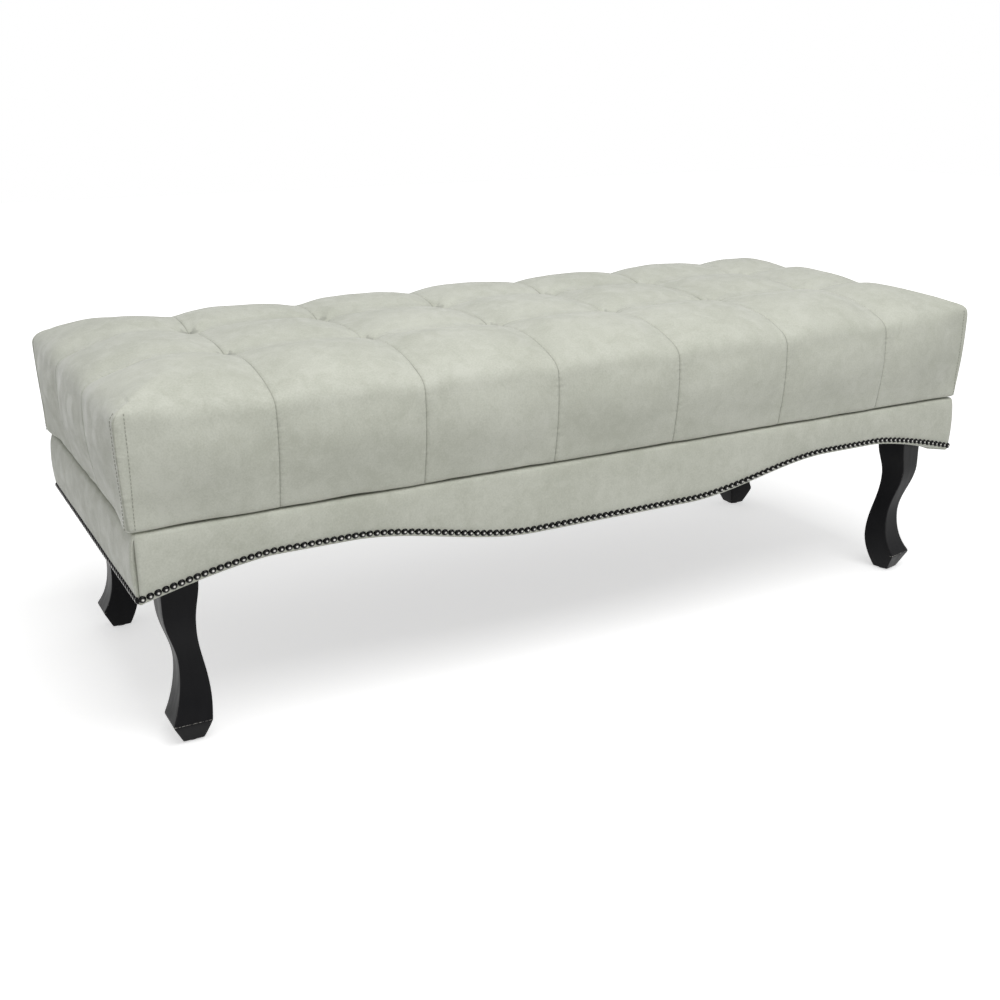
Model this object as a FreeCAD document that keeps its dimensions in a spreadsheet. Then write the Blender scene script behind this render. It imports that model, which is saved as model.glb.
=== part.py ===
# Upholstered bench: tufted seat cushion on a covered apron with a wavy lower edge, four cabriole legs.
# Frame: X along the bench, front towards -Y, Z up, origin on the floor below the middle of the seat.
import FreeCAD, Part
import math
import os
import Sketcher

os.makedirs("parts", exist_ok=True)
doc = FreeCAD.newDocument("upholstered_bench")
Vector = FreeCAD.Vector
Constraint = Sketcher.Constraint
UP = Vector(0, 0, 1)

# Driving dimensions in millimetres; heights are above the floor
SIZES = [
    ("apron_length", 1340, "outside of the apron cover, end to end"),
    ("apron_depth", 536, "outside of the apron cover, front to back"),
    ("apron_top", 306.5, "top of the covered apron"),
    ("corner_edge", 216.5, "lower edge of the apron at its corners and along its ends"),
    ("arch_edge", 249.5, "lower edge of the apron at the crest of each arch"),
    ("belly_edge", 212, "lower edge of the apron at the middle of a long side"),
    ("belly_half", 130, "middle of the long side to the end of the low belly"),
    ("arch_inner", 400, "middle of the long side to the near end of an arch's crest"),
    ("arch_run", 170, "far end of an arch's crest to the bench's end"),
    ("cover_thickness", 2, "apron cover"),
    ("cover_stop", 3, "edge of a turned cover before the rail's inner face"),
    ("pad_thickness", 6, "padding between cover and rail"),
    ("rail_thickness", 19, "apron rails"),
    ("rail_dowel_diameter", 8, "dowels between the rails"),
    ("rail_dowel_length", 40, "dowels between the rails"),
    ("rail_dowel_depth", 12, "dowel hole in a long rail"),
    ("rail_dowel_rise", 23, "lower dowel above the apron's corner edge"),
    ("rail_dowel_drop", 19, "upper dowel below the rail's top"),
    ("leg_top_rise", 6, "top of the legs above the crest of the arches"),
    ("block_width", 76, "corner blocks, both ways"),
    ("cleat_width", 15, "cleats along the rails, both ways"),
    ("brace_width", 70, "cross braces, along the bench"),
    ("brace_thickness", 20, "cross braces"),
    ("brace_screw_gap", 40, "between the two screws at a brace's end"),
    ("screw_diameter", 5, "frame and seat screws"),
    ("screw_head_diameter", 10, "frame and seat screws"),
    ("screw_head_height", 4, "frame and seat screws"),
    ("screw_tip", 4, "pointed end of the screws"),
    ("frame_screw_length", 50, "screws through the rails, head included"),
    ("block_screw_rise", 10, "lower block screw above the block's underside"),
    ("block_screw_drop", 17, "upper block screw below the block's top"),
    ("block_screw_edge", 18, "block screws, from the free end of the block"),
    ("seat_screw_length", 30, "screws up into the seat board, head included"),
    ("seat_screw_gap", 150, "between seat screws along a brace"),
    ("bolt_diameter", 8, "hanger bolts of the legs"),
    ("bolt_depth", 45, "hanger bolt in the leg"),
    ("bolt_clearance", 0.5, "around the hanger bolt in the block"),
    ("bolt_past_nut", 2, "hanger bolt above its nut"),
    ("nut_across_flats", 13, "leg nuts"),
    ("nut_height", 6.5, "leg nuts"),
    ("washer_diameter", 20, "leg washers"),
    ("washer_thickness", 1.6, "leg washers"),
    ("washer_clearance", 0.2, "around the bolt in its washer"),
    ("recess_clearance", 2, "around the washer in the block's recess"),
    ("recess_room", 3.9, "over the hanger bolt in the block's recess"),
    ("leg_clearance", 6, "between a leg and the rails, so that it can be turned on its bolt"),
    ("front_right_turn", 12, "degrees that the front right leg has been turned on its bolt"),
    ("post_width", 48, "leg at its top, both ways"),
    ("post_inner_end", 225, "height where the inner face of the leg starts to curve"),
    ("knee_height", 188.5, "height where the outer face of the leg starts to curve"),
    ("knee_back_height", 170, "height of the hollow behind the knee"),
    ("knee_back_set", 7, "depth of the hollow behind the knee"),
    ("ankle_height", 101.5, "height of the hollow at the ankle"),
    ("ankle_set", 18, "depth of the hollow at the ankle"),
    ("heel_height", 62, "height of the swell at the heel"),
    ("heel_swell", 7, "swell at the heel past the post's inner face"),
    ("toe_height", 31, "height of the toe's edge"),
    ("foot_base_set", 14, "base of the foot behind the toe"),
    ("foot_base_width", 27, "base of the foot, both ways"),
    ("glide_diameter", 20, "glides"),
    ("glide_thickness", 2, "glides"),
    ("glide_pin_diameter", 3, "pins of the glides"),
    ("glide_pin_length", 12, "pins of the glides"),
    ("nail_pitch", 9.8, "between the decorative nails"),
    ("nail_head_diameter", 9.5, "decorative nails"),
    ("nail_head_height", 3.6, "decorative nails"),
    ("nail_shank_diameter", 1.6, "decorative nails"),
    ("nail_shank_length", 15, "decorative nails"),
    ("nail_tip", 2, "pointed end of the nails"),
    ("nail_rise", 7.5, "nail centres above the lower edge of a long side"),
    ("nail_clearance", 0.3, "between the crossing shanks of two rows at a corner"),
    ("nail_inset", 5, "first and last nail of a row, from the corner"),
    ("hem_thickness", 2, "cushion cover turned under the seat board"),
    ("board_thickness", 12, "seat board"),
    ("core_inset", 18, "seat board and foam, from the apron's face"),
    ("foam_thickness", 120, "seat foam"),
    ("middle_row", 178.6, "depth of the cushion's middle row of panels"),
    ("end_panel", 176, "length of the two end panels of the cushion"),
    ("middle_panels", 5, "number of panels between the end panels"),
    ("tuft_wadding", 26, "wadding and cover over the foam at a tuft"),
    ("seam_swell", 7, "crest of a seam above the tufts"),
    ("panel_swell", 7, "crest of a panel above its seams"),
    ("cushion_draw_in", 3, "bottom of the cushion's sides, behind the apron's face"),
    ("seam_bulge", 8, "cushion's sides past the apron's face at a seam"),
    ("panel_bulge", 5, "cushion's sides past the seams at the middle of a panel"),
    ("shoulder_drop", 9, "start of the rounded top edge below the foam's top"),
    ("shoulder_rise", 20, "height of the rounded top edge"),
    ("shoulder_depth", 16, "depth of the rounded top edge"),
    ("edge_roll", 88, "apron's face to the crest of an edge panel"),
    ("end_roll_bend", 62, "apron's end to the middle of the end panels' roll"),
    ("end_roll_drop", 4, "middle of the end panels' roll below their crest"),
    ("end_roll", 132, "apron's end to where the end panels are level"),
    ("level_clearance", 12, "between the crests and the form that shapes the ends"),
    ("form_overrun", 60, "the forms past each other where they cross"),
    ("tie_diameter", 2.4, "tuft ties"),
    ("tie_hole_diameter", 6, "holes in the seat board for the ties"),
    ("knot_diameter", 7, "knots of the ties"),
    ("knot_height", 3, "knots of the ties"),
    ("tie_washer_diameter", 20, "washers under the seat board"),
    ("tie_washer_thickness", 1.5, "washers under the seat board"),
    ("tie_stop", 4, "top of a tie below the surface of its tuft"),
    ("dust_cover_thickness", 0.8, "dust cover"),
    ("dust_cover_gap", 1, "dust cover to rails"),
]

# Places that follow from the driving dimensions
PLACES = [
    ("half_length", "sizes.apron_length / 2"),
    ("half_depth", "sizes.apron_depth / 2"),
    ("rail_face", "sizes.cover_thickness + sizes.pad_thickness"),
    ("rail_back", "rail_face + sizes.rail_thickness"),
    ("rail_top", "sizes.apron_top - sizes.cover_thickness"),
    ("cover_turn_in", "rail_back - sizes.cover_stop"),
    ("leg_top", "sizes.arch_edge + sizes.leg_top_rise"),
    ("board_bottom", "sizes.apron_top + sizes.hem_thickness"),
    ("board_top", "board_bottom + sizes.board_thickness"),
    ("foam_top", "board_top + sizes.foam_thickness"),
    ("brace_bottom", "board_bottom - sizes.brace_thickness"),
    ("brace_screw_height", "(brace_bottom + rail_top) / 2"),
    ("panel_pitch", "(sizes.apron_length - 2 * sizes.end_panel) / sizes.middle_panels"),
    ("edge_row", "(sizes.apron_depth - sizes.middle_row) / 2"),
    ("tuft_top", "foam_top + sizes.tuft_wadding"),
    ("block_back", "rail_back + sizes.block_width"),
    ("block_screw_inset", "block_back - sizes.block_screw_edge"),
    ("block_screw_low", "leg_top + sizes.block_screw_rise"),
    ("block_screw_high", "board_bottom - sizes.block_screw_drop"),
    ("leg_inset", "rail_back + sizes.leg_clearance"),
    ("bolt_inset", "leg_inset + sizes.post_width / 2"),
    ("bolt_top", "board_bottom - sizes.recess_room"),
    ("nut_seat", "bolt_top - sizes.bolt_past_nut - sizes.nut_height - sizes.washer_thickness"),
    ("recess_diameter", "sizes.washer_diameter + 2 * sizes.recess_clearance"),
    ("rail_dowel_inset", "rail_face + sizes.rail_thickness / 2"),
    ("rail_dowel_low", "sizes.corner_edge + sizes.rail_dowel_rise"),
    ("rail_dowel_high", "rail_top - sizes.rail_dowel_drop"),
    ("foot_centre", "leg_inset + sizes.foot_base_set + sizes.foot_base_width / 2"),
    ("post_back", "leg_inset + sizes.post_width"),
    ("cut_out", "post_back + sizes.leg_clearance"),
]

sizes = doc.addObject("Spreadsheet::Sheet", "sizes")
for row, (alias, number, meaning) in enumerate(SIZES, 1):
    sizes.set("A%d" % row, str(number))
    sizes.setAlias("A%d" % row, alias)
    sizes.set("B%d" % row, meaning)
doc.recompute()

places = doc.addObject("Spreadsheet::Sheet", "places")
for row, (alias, formula) in enumerate(PLACES, 1):
    places.set("A%d" % row, "=" + formula)
    places.setAlias("A%d" % row, alias)
doc.recompute()


class Reader:
    """Gives a sheet's values by name, as plain numbers."""

    def __init__(self, sheet):
        self.sheet = sheet

    def __getattr__(self, alias):
        return float(self.sheet.get(alias))


size = Reader(sizes)
place = Reader(places)


def value(formula):
    """Number that a formula on the sheets gives."""
    return float(sizes.evalExpression(formula))


# The four sides, each with the corner at its left end seen from outside: X runs along the side from that
# corner, Y inwards from the apron's face. A corner's own pieces lie in the frame of its side.
SIDES = [
    ("front", "front_left", 0, "-places.half_length", "-places.half_depth"),
    ("right", "front_right", 90, "places.half_length", "-places.half_depth"),
    ("back", "back_right", 180, "places.half_length", "places.half_depth"),
    ("left", "back_left", 270, "-places.half_length", "places.half_depth"),
]
LONG_SIDES = ("front", "back")


def settle(thing, side):
    """Turns a piece about Z and binds its origin to the corner of its side."""
    angle, corner_x, corner_y = side[2:]
    thing.Placement = FreeCAD.Placement(Vector(0, 0, 0), FreeCAD.Rotation(UP, angle))
    thing.setExpression("Placement.Base.x", corner_x)
    thing.setExpression("Placement.Base.y", corner_y)


def new_body(label, side=SIDES[0]):
    """Empty body that stands in the frame of one side."""
    body = doc.addObject("PartDesign::Body", label)
    body.Label = label
    settle(body, side)
    return body


def new_sketch(body, role, offset="0"):
    """Sketch parallel to one of the body's own origin planes, moved along the plane's normal."""
    plane = next(feature for feature in body.Origin.OriginFeatures if feature.Role == role)
    sketch = body.newObject("Sketcher::SketchObject", body.Name + "_sketch")
    sketch.AttachmentSupport = [(plane, "")]
    sketch.MapMode = "FlatFace"
    sketch.setExpression("AttachmentOffset.Base.z", offset)
    return sketch


def bind(sketch, kind, elements, formula):
    """Dimension of a sketch that follows a formula."""
    index = sketch.addConstraint(Constraint(kind, *elements, value(formula)))
    sketch.setExpression("Constraints[%d]" % index, formula)


def pin_point(sketch, element, point, across, along):
    """Holds a point at two distances from the sketch's origin; a distance of 0 puts it on the axis."""
    for kind, axis, formula in (("DistanceX", -2, across), ("DistanceY", -1, along)):
        if formula == "0":
            sketch.addConstraint(Constraint("PointOnObject", element, point, axis))
        else:
            bind(sketch, kind, (-1, 1, element, point), formula)


def rectangle(sketch, left, low, width, height):
    """Rectangle with its lower left corner, width and height bound to formulas."""
    x, y, w, h = (value(formula) for formula in (left, low, width, height))
    corners = [Vector(x, y, 0), Vector(x + w, y, 0), Vector(x + w, y + h, 0), Vector(x, y + h, 0)]
    first = sketch.GeometryCount
    for k in range(4):
        sketch.addGeometry(Part.LineSegment(corners[k], corners[(k + 1) % 4]), False)
    for k in range(4):
        sketch.addConstraint(Constraint("Coincident", first + k, 2, first + (k + 1) % 4, 1))
        sketch.addConstraint(Constraint("Vertical" if k % 2 else "Horizontal", first + k))
    pin_point(sketch, first, 1, left, low)
    bind(sketch, "DistanceX", (first, 1, first, 2), width)
    bind(sketch, "DistanceY", (first + 1, 1, first + 1, 2), height)


def circle(sketch, across, along, diameter):
    """Circle with its centre and diameter bound to formulas."""
    centre = Vector(value(across), value(along), 0)
    index = sketch.addGeometry(Part.Circle(centre, UP, value(diameter) / 2), False)
    pin_point(sketch, index, 3, across, along)
    bind(sketch, "Diameter", (index,), diameter)


def pad(body, sketch, length, forward=True):
    """Solid from a sketch, along the sketch plane's normal or against it."""
    feature = body.newObject("PartDesign::Pad", body.Name + "_pad")
    feature.Profile = sketch
    feature.Reversed = not forward
    feature.setExpression("Length", length)
    body.Tip = feature
    return feature


def pocket(body, sketch, length, forward=False):
    """Cut from a sketch, against the sketch plane's normal or along it."""
    feature = body.newObject("PartDesign::Pocket", body.Name + "_pocket")
    feature.Profile = sketch
    feature.Reversed = forward
    feature.Refine = False
    feature.setExpression("Length", length)
    body.Tip = feature
    return feature


def solid_group(label, solids, side=None):
    """One piece, or a group of like pieces, shaped in code from the sheets' values."""
    feature = doc.addObject("Part::Feature", label)
    feature.Label = label
    feature.Shape = Part.makeCompound(solids) if len(solids) > 1 else solids[0]
    if side:
        settle(feature, side)
    return feature


def turned(points, axis_end):
    """Solid of revolution about Z from (radius, height) points; a point of four numbers ends an arc and
    gives the arc's middle too."""
    edges = []
    previous = points[0]
    for point in points[1:]:
        start = Vector(previous[0], 0, previous[1])
        end = Vector(point[0], 0, point[1])
        if len(point) == 4:
            edges.append(Part.Arc(start, Vector(point[2], 0, point[3]), end).toShape())
        else:
            edges.append(Part.LineSegment(start, end).toShape())
        previous = point
    edges.append(Part.LineSegment(Vector(previous[0], 0, previous[1]), Vector(0, 0, axis_end)).toShape())
    profile = Part.Face(Part.Wire(edges))
    return profile.revolve(Vector(0, 0, 0), UP, 360)


def placed(shape, position, direction=UP):
    """Copy of a shape drawn along Z, set at a position and pointed in a direction."""
    copy = shape.copy()
    copy.Placement = FreeCAD.Placement(position, FreeCAD.Rotation(UP, direction))
    return copy


# Lower edge of the apron


def edge_height(along):
    """Height of the wavy lower edge at a distance along a long side from its corner."""
    distance = abs(along - place.half_length)
    arch_outer = place.half_length - size.arch_run
    if distance <= size.belly_half:
        return size.belly_edge
    if distance <= size.arch_inner:
        share = (distance - size.belly_half) / (size.arch_inner - size.belly_half)
        return size.belly_edge + (size.arch_edge - size.belly_edge) * share * share * (3 - 2 * share)
    if distance <= arch_outer:
        return size.arch_edge
    share = (distance - arch_outer) / size.arch_run
    return size.arch_edge - (size.arch_edge - size.corner_edge) * share ** FALL_POWER


FALL_POWER = 1.4
EDGE_SPANS = 28


def wave_curve(start, end, rise):
    """Stretch of the smooth lower edge of a long side, raised by a distance."""
    stations = [size.apron_length * k / EDGE_SPANS for k in range(EDGE_SPANS + 1)]
    points = [Vector(along, edge_height(along) + rise, 0) for along in stations]
    curve = Part.BSplineCurve()
    curve.interpolate(Points=points, Parameters=stations)
    curve.segment(start, end)
    return curve


def add_wavy_outline(sketch, inset, rise, top):
    """Outline with an upright edge at both ends, the wavy edge below and a straight edge on top."""
    left, right, high = value(inset), size.apron_length - value(inset), value(top)
    curve = wave_curve(left, right, rise)
    low_left, low_right = curve.StartPoint, curve.EndPoint
    top_left, top_right = Vector(left, high, 0), Vector(right, high, 0)
    sketch.addGeometry([
        curve,
        Part.LineSegment(low_right, top_right),
        Part.LineSegment(top_right, top_left),
        Part.LineSegment(top_left, low_left),
    ], False)
    for first, second in ((0, 1), (1, 2), (2, 3)):
        sketch.addConstraint(Constraint("Coincident", first, 2, second, 1))
    sketch.addConstraint(Constraint("Coincident", 3, 2, 0, 1))
    sketch.addConstraint(Constraint("Horizontal", 2))
    pin_point(sketch, 3, 1, inset, top)


def add_side_outline(sketch, name, inset, rise, top):
    """Outline of a board or layer of one side of the apron, its lower edge raised by a size."""
    if name in LONG_SIDES:
        add_wavy_outline(sketch, inset, value(rise), top)
    else:
        low = "(sizes.corner_edge + %s)" % rise
        rectangle(sketch, inset, low, "sizes.apron_depth - 2 * " + inset, top + " - " + low)


def side_length(name):
    return "sizes.apron_length" if name in LONG_SIDES else "sizes.apron_depth"


# Decorative nails


def end_nail_height():
    """Height of the straight rows on the ends: their shanks pass just under those of the long sides."""
    corner_nail = edge_height(size.nail_inset) + size.nail_rise
    return corner_nail - size.nail_shank_diameter - size.nail_clearance


def nail_places(name):
    """Nail centres along a side: (distance along, height), evenly spaced, both ends included."""
    first, last = size.nail_inset, value(side_length(name)) - size.nail_inset
    steps = round(last - first)
    path = []
    for k in range(steps + 1):
        along = first + (last - first) * k / steps
        is_long = name in LONG_SIDES
        height = edge_height(along) + size.nail_rise if is_long else end_nail_height()
        path.append((along, height))
    run = [0.0]
    for before, after in zip(path, path[1:]):
        run.append(run[-1] + math.dist(before, after))
    count = round(run[-1] / size.nail_pitch)
    chosen = []
    step = 0
    for k in range(count + 1):
        target = run[-1] * k / count
        while step < steps - 1 and run[step + 1] < target:
            step += 1
        share = (target - run[step]) / (run[step + 1] - run[step])
        before, after = path[step], path[step + 1]
        chosen.append(tuple(a + (b - a) * share for a, b in zip(before, after)))
    return chosen


def add_nail_circles(sketch, centres):
    radius = size.nail_shank_diameter / 2
    sketch.addGeometry([Part.Circle(Vector(*centre, 0), UP, radius) for centre in centres], False)


def cut_nail_holes(body, name):
    sketch = new_sketch(body, "XZ_Plane")
    add_nail_circles(sketch, nail_places(name))
    pocket(body, sketch, "sizes.nail_shank_length")


def cut_corner_nail_holes(body, name):
    """Holes for the nails of the two neighbouring rows that are near enough to a corner."""
    neighbour = "left" if name in LONG_SIDES else "front"
    reach = place.rail_back + size.nail_shank_diameter
    near = [centre for centre in nail_places(neighbour) if centre[0] < reach]
    for plane, forward in (("0", True), (side_length(name), False)):
        sketch = new_sketch(body, "YZ_Plane", plane)
        add_nail_circles(sketch, near)
        pocket(body, sketch, "sizes.nail_shank_length", forward)


def nail():
    """Domed nail with its shank along +Z and the dome's rim at height 0."""
    rim, high = size.nail_head_diameter / 2, size.nail_head_height
    ball = (rim * rim + high * high) / (2 * high)
    half_angle = math.asin(rim / ball) / 2
    middle = (ball * math.sin(half_angle), ball * (1 - math.cos(half_angle)) - high)
    shank, tip = size.nail_shank_diameter / 2, size.nail_shank_length
    outline = [(0, -high), (rim, 0, *middle), (shank, 0), (shank, tip - size.nail_tip), (0, tip)]
    return turned(outline, -high)


# Screws, in the frame of one side: heads sunk flush in the outer face of the rail


def brace_centres():
    """Formulas for the middle of each cross brace, from the left end: under the middles of panels."""
    panels = int(size.middle_panels)
    return ["(sizes.end_panel + %g * places.panel_pitch)" % (k + 0.5) for k in (0, panels // 2, panels - 1)]


def rail_screws(name):
    """Formulas (along, height) of the screws through a rail into the blocks and braces."""
    found = []
    for height in ("places.block_screw_low", "places.block_screw_high"):
        found.append(("places.block_screw_inset", height))
        found.append((side_length(name) + " - places.block_screw_inset", height))
    if name in LONG_SIDES:
        for centre in brace_centres():
            for way in ("-", "+"):
                found.append((centre + way + " sizes.brace_screw_gap / 2", "places.brace_screw_height"))
    return found


def screw(length):
    """Screw with its head at the origin and its tip along +Z."""
    head, shank = size.screw_head_diameter / 2, size.screw_diameter / 2
    neck, tip = size.screw_head_height, length
    return turned([(0, 0), (head, 0), (head, neck), (shank, neck), (shank, tip - size.screw_tip), (0, tip)], 0)


# Apron: rails, padding, covers and nails, side by side


def make_rail(side):
    name = side[0]
    is_long = name in LONG_SIDES
    body = new_body(name + "_rail", side)
    board = new_sketch(body, "XZ_Plane", "-places.rail_face")
    inset = "places.rail_face" if is_long else "places.rail_back"
    add_side_outline(board, name, inset, "sizes.cover_thickness", "places.rail_top")
    pad(body, board, "sizes.rail_thickness", False)
    shanks = new_sketch(body, "XZ_Plane", "-places.rail_face")
    heads = new_sketch(body, "XZ_Plane", "-places.rail_face")
    for along, height in rail_screws(name):
        circle(shanks, along, height, "sizes.screw_diameter")
        circle(heads, along, height, "sizes.screw_head_diameter")
    pocket(body, shanks, "sizes.rail_thickness")
    pocket(body, heads, "sizes.screw_head_height")
    if is_long:
        sockets = new_sketch(body, "XZ_Plane", "-places.rail_back")
        for along in ("places.rail_dowel_inset", "sizes.apron_length - places.rail_dowel_inset"):
            for height in ("places.rail_dowel_low", "places.rail_dowel_high"):
                circle(sockets, along, height, "sizes.rail_dowel_diameter")
        pocket(body, sockets, "sizes.rail_dowel_depth", True)
        cut_corner_nail_holes(body, name)
    else:
        reach = "sizes.rail_dowel_length - sizes.rail_dowel_depth"
        for plane, forward in (("places.rail_back", True), ("sizes.apron_depth - places.rail_back", False)):
            sockets = new_sketch(body, "YZ_Plane", plane)
            for height in ("places.rail_dowel_low", "places.rail_dowel_high"):
                circle(sockets, "places.rail_dowel_inset", height, "sizes.rail_dowel_diameter")
            pocket(body, sockets, reach, forward)
    cut_nail_holes(body, name)


def make_padding(side):
    """Layer of padding, pierced by the nails."""
    name = side[0]
    body = new_body(name + "_padding", side)
    layer = new_sketch(body, "XZ_Plane", "-sizes.cover_thickness")
    inset = "sizes.cover_thickness" if name in LONG_SIDES else "places.rail_face"
    add_side_outline(layer, name, inset, "sizes.cover_thickness", "places.rail_top")
    pad(body, layer, "sizes.pad_thickness", False)
    cut_corner_nail_holes(body, name)
    cut_nail_holes(body, name)


def make_cover(side):
    """Apron cover: its face, and the strips turned over the rail and under it, mitred at both ends."""
    name = side[0]
    body = new_body(name + "_cover", side)
    block = new_sketch(body, "XZ_Plane")
    add_side_outline(block, name, "0", "0", "sizes.apron_top")
    pad(body, block, "places.cover_turn_in", False)
    hollow = new_sketch(body, "XZ_Plane", "-sizes.cover_thickness")
    add_side_outline(hollow, name, "0", "sizes.cover_thickness", "places.rail_top")
    pocket(body, hollow, "places.cover_turn_in")
    mitres = new_sketch(body, "XY_Plane", "sizes.apron_top")
    deep = place.cover_turn_in
    for corner, way in ((0, 1), (value(side_length(name)), -1)):
        tip = Vector(corner, 0, 0)
        inner = Vector(corner + way * deep, deep, 0)
        outer = Vector(corner, deep, 0)
        for start, end in ((tip, inner), (inner, outer), (outer, tip)):
            mitres.addGeometry(Part.LineSegment(start, end), False)
    pocket(body, mitres, "sizes.apron_top")
    cut_nail_holes(body, name)


def make_nails(side):
    """Row of nails, as one group."""
    one = nail()
    inwards = Vector(0, 1, 0)
    rows = [placed(one, Vector(along, 0, height), inwards) for along, height in nail_places(side[0])]
    return solid_group(side[0] + "_nails", rows, side)


for side in SIDES:
    make_rail(side)
    make_padding(side)
    make_cover(side)
    make_nails(side)


# Dowels, screws, blocks, cleats and braces of the frame


def in_frame(side, shapes):
    """Shapes drawn in a side's frame, moved to where that side stands."""
    angle, corner_x, corner_y = side[2:]
    frame = FreeCAD.Placement(Vector(value(corner_x), value(corner_y), 0), FreeCAD.Rotation(UP, angle))
    moved = []
    for shape in shapes:
        copy = shape.copy()
        copy.Placement = frame.multiply(copy.Placement)
        moved.append(copy)
    return moved


def make_rail_dowels():
    dowel = Part.makeCylinder(size.rail_dowel_diameter / 2, size.rail_dowel_length)
    found = []
    for side in SIDES:
        if side[0] in LONG_SIDES:
            near = place.rail_back - size.rail_dowel_depth
            for along in (place.rail_dowel_inset, size.apron_length - place.rail_dowel_inset):
                for height in (place.rail_dowel_low, place.rail_dowel_high):
                    found += in_frame(side, [placed(dowel, Vector(along, near, height), Vector(0, 1, 0))])
    return solid_group("rail_dowels", found)


def make_frame_screws():
    one = screw(size.frame_screw_length)
    found = []
    for side in SIDES:
        for along, height in rail_screws(side[0]):
            head = Vector(value(along), place.rail_face, value(height))
            found += in_frame(side, [placed(one, head, Vector(0, 1, 0))])
    return solid_group("frame_screws", found)


def make_block(side):
    """Corner block, bored for the leg's bolt and for the screws from both rails."""
    body = new_body("corner_block_" + side[1], side)
    square = new_sketch(body, "XY_Plane", "places.leg_top")
    rectangle(square, "places.rail_back", "places.rail_back", "sizes.block_width", "sizes.block_width")
    pad(body, square, "places.board_bottom - places.leg_top")
    top = "places.board_bottom"
    bore = new_sketch(body, "XY_Plane", top)
    circle(bore, "places.bolt_inset", "places.bolt_inset", "sizes.bolt_diameter + 2 * sizes.bolt_clearance")
    pocket(body, bore, "places.board_bottom - places.leg_top")
    recess = new_sketch(body, "XY_Plane", top)
    circle(recess, "places.bolt_inset", "places.bolt_inset", "places.recess_diameter")
    pocket(body, recess, "places.board_bottom - places.nut_seat")
    reach = "sizes.frame_screw_length - sizes.rail_thickness"
    for plane, offset, forward in (("XZ_Plane", "-places.rail_back", False), ("YZ_Plane", "places.rail_back", True)):
        holes = new_sketch(body, plane, offset)
        for height in ("places.block_screw_low", "places.block_screw_high"):
            circle(holes, "places.block_screw_inset", height, "sizes.screw_diameter")
        pocket(body, holes, reach, forward)
    return body


def make_cleat(side):
    """Cleat along a rail, between the corner blocks."""
    body = new_body(side[0] + "_cleat", side)
    section = new_sketch(body, "XZ_Plane", "-places.rail_back")
    start = "places.block_back"
    rectangle(section, start, "places.leg_top", side_length(side[0]) + " - 2 * " + start, "sizes.cleat_width")
    pad(body, section, "sizes.cleat_width", False)
    return body


BRACE_NAMES = ("left", "middle", "right")
SEAT_SCREW_ROWS = (-1, 0, 1)


def seat_screw_row(row):
    """Formula for a seat screw's distance from the front."""
    return "places.half_depth" if row == 0 else "(places.half_depth + %d * sizes.seat_screw_gap)" % row


def make_brace(name, centre):
    """Cross brace between the long rails, bored for the seat screws and for the screws at its ends."""
    body = new_body("cross_brace_" + name)
    section = new_sketch(body, "XZ_Plane", "-places.rail_back")
    rectangle(section, centre + " - sizes.brace_width / 2", "places.brace_bottom", "sizes.brace_width",
              "sizes.brace_thickness")
    pad(body, section, "sizes.apron_depth - 2 * places.rail_back", False)
    shanks = new_sketch(body, "XY_Plane", "places.brace_bottom")
    heads = new_sketch(body, "XY_Plane", "places.brace_bottom")
    for row in SEAT_SCREW_ROWS:
        circle(shanks, centre, seat_screw_row(row), "sizes.screw_diameter")
        circle(heads, centre, seat_screw_row(row), "sizes.screw_head_diameter")
    pocket(body, shanks, "sizes.brace_thickness", True)
    pocket(body, heads, "sizes.screw_head_height", True)
    reach = "sizes.frame_screw_length - sizes.rail_thickness"
    for offset, forward in (("-places.rail_back", False), ("places.rail_back - sizes.apron_depth", True)):
        ends = new_sketch(body, "XZ_Plane", offset)
        for way in ("-", "+"):
            circle(ends, centre + way + " sizes.brace_screw_gap / 2", "places.brace_screw_height",
                   "sizes.screw_diameter")
        pocket(body, ends, reach, forward)
    return body


def make_seat_screws():
    one = screw(size.seat_screw_length)
    found = []
    for centre in brace_centres():
        for row in SEAT_SCREW_ROWS:
            found.append(placed(one, Vector(value(centre), value(seat_screw_row(row)), place.brace_bottom)))
    return solid_group("seat_screws", found, SIDES[0])


make_rail_dowels()
make_frame_screws()
for side in SIDES:
    make_block(side)
    make_cleat(side)
for name, centre in zip(BRACE_NAMES, brace_centres()):
    make_brace(name, centre)
make_seat_screws()


# Legs and what holds them


SAW_MARGIN = 4
CURVE_PULL = 0.38
TOE_PULL = (0.68, 0.27)
SOLE_PULL = (0.62, 0.78)


def bezier(*poles):
    """Curve through its first and last pole, drawn towards the ones between."""
    curve = Part.BezierCurve()
    curve.setPoles([Vector(*pole, 0) for pole in poles])
    return curve.toBSpline()


def s_curve(start, end):
    """Curve that leaves its start and reaches its end upright."""
    pull = CURVE_PULL * (end[1] - start[1])
    return bezier(start, (start[0], start[1] + pull), (end[0], end[1] - pull), end)


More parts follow.
